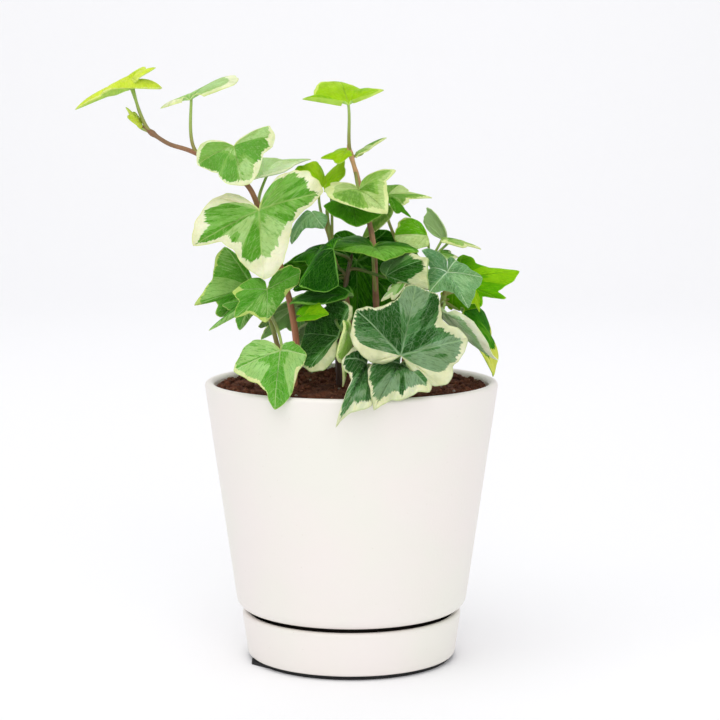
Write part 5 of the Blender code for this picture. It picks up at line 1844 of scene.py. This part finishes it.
def layRings(bed):
    # rings from the edge in to the middle, and a plain wall and floor below
    rings = soil["rings"]
    for k in range(rings, 0, -1):
        bpy.ops.mesh.extrude_region_move()
        scale = (k - 1) / k
        bpy.ops.transform.resize(value=(scale, scale, 1), center_override=(0, 0, soilEdge * mm))
    bpy.ops.mesh.select_all(action="SELECT")
    bpy.ops.mesh.remove_doubles(threshold=1e-6)
    pickRing(bed, soilRadius * mm, soilEdge * mm)
    floor = pot["underside"] + pot["floor"] + soil["aboveFloor"]
    low = floor + soil["lowStep"]
    lowRadius = potInnerRadius(low) - soil["gap"]
    floorRadius = potInnerRadius(floor) - soil["gap"] - soil["lowInset"]
    radius = soilRadius
    edge = soilEdge
    for height, reach in ((low, lowRadius), (floor, floorRadius)):
        bpy.ops.mesh.extrude_region_move()
        scale = reach / radius
        bpy.ops.transform.resize(value=(scale, scale, 1), center_override=(0, 0, 0))
        bpy.ops.transform.translate(value=(0, 0, (height - edge) * mm))
        radius = reach
        edge = height
    bpy.ops.mesh.edge_face_add()
    bpy.ops.mesh.select_all(action="SELECT")
    bpy.ops.mesh.normals_make_consistent(inside=False)


def roughenBed(bed):
    # the surface follows the mound, and then two clouds of noise displace it, less at the edge
    top = bed.vertex_groups.new(name="surface")
    for vert in bed.data.vertices:
        if vert.co.z > (soilEdge - 1) * mm:
            share = min(1.0, math.hypot(vert.co.x, vert.co.y) / (soilRadius * mm))
            vert.co.z = soilHeight(share, math.atan2(vert.co.y, vert.co.x)) * mm
            top.add([vert.index], 1.0 if share < soil["calmEdge"] else soil["calmShare"], "REPLACE")
    for label in ("lumps", "crumble"):
        texture = bpy.data.textures.new("soil_" + label, "CLOUDS")
        texture.noise_scale = soil[label]["size"] * mm
        texture.noise_depth = soil["noiseDepth"]
        rough = bed.modifiers.new(label, "DISPLACE")
        rough.texture = texture
        rough.texture_coords = "LOCAL"
        rough.direction = "Z"
        rough.vertex_group = "surface"
        rough.mid_level = 0.5
        rough.strength = soil[label]["strength"] * mm
    applyModifiers(bed)


def modelSoilBed():
    selectNothing()
    bpy.ops.mesh.primitive_circle_add(
        vertices=soil["sides"], radius=soilRadius * mm, fill_type="NOTHING", location=(0, 0, soilEdge * mm)
    )
    bed = bpy.context.object
    bed.name = "soil_bed"
    settle(bed)
    editAll(bed)
    layRings(bed)
    leaveEdit()
    roughenBed(bed)
    workOn(bed)
    bpy.ops.object.shade_smooth_by_angle(angle=math.radians(soil["smoothDeg"]))
    bed.data.materials.append(peatBrown)
    return bed


crumb = {"radius": 0.5, "subdivisions": 2, "dents": (0.72, 1.18)}
fibre = {"steps": 5, "length": 10, "radius": 0.16, "taper": 0.7, "sideBend": 0.25, "keepFaces": 0.45}


def modelCrumb(name, draw, material):
    # one crumb, dented at random, at the origin, about 1 mm across
    selectNothing()
    bpy.ops.mesh.primitive_ico_sphere_add(subdivisions=crumb["subdivisions"], radius=crumb["radius"] * mm)
    made = bpy.context.object
    made.name = name
    for vert in made.data.vertices:
        vert.co *= draw.uniform(*crumb["dents"])
    made.data.materials.append(material)
    bpy.ops.object.shade_smooth()
    return made


def modelFibre(name, bend):
    # one coir fibre, about 10 mm long, as a thin tapered tube on an arc
    run = []
    for k in range(fibre["steps"] + 1):
        t = k / fibre["steps"]
        side = fibre["sideBend"] * bend * math.cos(3 * t)
        place = Vector((fibre["length"] * (t - 0.5), bend * math.sin(math.pi * t), side))
        run.append((place, fibre["radius"] * (1 - fibre["taper"] * abs(2 * t - 1))))
    made = drawTubes(name, [run], peatBrown)
    editAll(made)
    bpy.ops.mesh.remove_doubles(threshold=1e-6)
    leaveEdit()
    cut = made.modifiers.new("fewerFaces", "DECIMATE")
    cut.ratio = fibre["keepFaces"]
    applyModifiers(made)
    return made


def scatterSoil():
    draw = random.Random(soil["seed"])
    crumbs = [modelCrumb(f"crumb_{k}", draw, peatBrown) for k in range(soil["crumbKinds"])]
    grit = modelCrumb("grit", draw, gritPale)
    fibres = [modelFibre(f"fibre_{k}", bend) for k, bend in enumerate(soil["fibreBends"])]
    copies = []

    def layCopy(template, size, share, angle, lift, tilt):
        reach = share * soilRadius
        spot = Vector((reach * math.cos(angle), reach * math.sin(angle), soilHeight(share, angle) + lift))
        turn = Matrix.Rotation(draw.uniform(0, math.tau), 4, "Z") @ Matrix.Rotation(tilt, 4, "X")
        wide = size * draw.uniform(*soil["widths"])
        tall = size * draw.uniform(*soil["heights"])
        twin = copyOf(template, template.name + "_copy")
        twin.data.transform(Matrix.Translation(spot * mm) @ turn @ Matrix.Diagonal((size, wide, tall, 1)))
        copies.append(twin)

    for k in range(soil["crumbs"]):
        # one in three lies near the edge, and large crumbs keep away from it
        share = math.sqrt(draw.random()) if k % 3 else draw.uniform(*soil["edgeBand"])
        room = (1 - share) * soilRadius * soil["edgeRoom"] + soil["edgeSize"]
        size = min(draw.choice(soil["crumbSizes"]), room)
        layCopy(draw.choice(crumbs), size, min(share, soil["crumbReach"]), draw.uniform(0, math.tau),
                soil["crumbLift"] * size, draw.uniform(*soil["crumbTilt"]))
    for k in range(soil["grit"]):
        layCopy(grit, draw.uniform(*soil["gritSizes"]), math.sqrt(draw.random()) * soil["gritReach"],
                draw.uniform(0, math.tau), soil["gritLift"], 0)
    for k in range(soil["fibres"]):
        share = min(math.sqrt(draw.random()), soil["fibreReach"])
        layCopy(draw.choice(fibres), draw.uniform(*soil["fibreSizes"]), share, draw.uniform(0, math.tau),
                draw.uniform(*soil["fibreLift"]), draw.uniform(*soil["fibreTilt"]))
    for template in (*crumbs, grit, *fibres):
        discard(template)
    return joinAll(copies, "soil_crumbs")


bed = modelSoilBed()
litter = scatterSoil()
for piece in (bed, litter):
    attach(piece, "root")
    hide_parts("soil")
print("soil laid:", len(bed.data.polygons), "bed faces", len(litter.data.polygons), "crumb faces")


# The studio: a pale floor that curves up behind, soft lights, and a bright surround
studio = {
    "paper": (250, 250, 252), "paperCloud": (251, 251, 253), "cloudScale": 1.2, "grainScale": 300.0,
    "paperRoughness": 0.9,
    "halfWidth": 3.0, "front": -3.0, "behind": 1.6, "curve": 0.8, "curveSteps": 12, "top": 3.0,
    "surround": 0.7,
}


def modelBackdrop():
    selectNothing()
    bpy.ops.mesh.primitive_plane_add(size=1)
    sweep = bpy.context.object
    sweep.name = "paleBackdrop"
    half = studio["halfWidth"]
    behind = studio["behind"]
    for vert in sweep.data.vertices:
        vert.co = (half if vert.co.x > 0 else -half, behind if vert.co.y > 0 else studio["front"], 0)
    bpy.ops.object.mode_set(mode="EDIT")
    bpy.ops.mesh.select_all(action="DESELECT")
    bpy.ops.mesh.select_mode(type="EDGE")
    inEdit = bmesh.from_edit_mesh(sweep.data)
    for edge in inEdit.edges:
        edge.select_set(all(abs(v.co.y - behind) < 0.1 * mm for v in edge.verts))
    bmesh.update_edit_mesh(sweep.data)
    back, up = behind, 0.0
    for k in range(1, studio["curveSteps"] + 1):
        turn = math.pi / 2 * k / studio["curveSteps"]
        nextBack = behind + studio["curve"] * math.sin(turn)
        nextUp = studio["curve"] * (1 - math.cos(turn))
        bpy.ops.mesh.extrude_region_move(TRANSFORM_OT_translate={"value": (0, nextBack - back, nextUp - up)})
        back, up = nextBack, nextUp
    bpy.ops.mesh.extrude_region_move(TRANSFORM_OT_translate={"value": (0, 0, studio["top"])})
    leaveEdit()
    bpy.ops.object.shade_smooth()
    material, tree, shader = newMaterial("palePaper")
    mottle = mottleAt(tree, objectPlace(tree), studio["cloudScale"], studio["grainScale"])
    feedAll(tree, shader, {
        "Base Color": blendColour(tree, mottle["Cloud"], srgb(*studio["paper"]), srgb(*studio["paperCloud"])),
        "Roughness": studio["paperRoughness"],
        "Specular IOR Level": 0.0,
    })
    sweep.data.materials.append(material)
    return sweep


modelBackdrop()

lamps = {
    "overhead": {"place": (-0.3, -0.6, 1.5), "aim": (0, 0, 0.1), "size": 1.4, "power": 8.0},
    "frontSoft": {"place": (0.4, -2.2, 1.0), "aim": (0, 0, 0.12), "size": 1.6, "power": 9.0},
    "background": {"place": (0, 1.0, 1.7), "aim": (0, 2.2, 0.2), "size": 1.6, "power": 6.5},
}
for name, lamp in lamps.items():
    selectNothing()
    bpy.ops.object.light_add(type="AREA", location=lamp["place"])
    light = bpy.context.object
    light.name = name
    light.data.size = lamp["size"]
    light.data.energy = lamp["power"]
    aim = Vector(lamp["aim"]) - Vector(lamp["place"])
    light.rotation_euler = aim.to_track_quat("-Z", "Y").to_euler()

world = bpy.data.worlds.new("studioSurround")
bpy.context.scene.world = world
world.use_nodes = True
feedAll(world.node_tree, world.node_tree.nodes["Background"].inputs, {
    "Color": (1, 1, 1, 1), "Strength": studio["surround"],
})
bpy.context.scene.view_settings.view_transform = "Standard"
print("studio lit")

selectNothing()
bpy.context.view_layer.update()
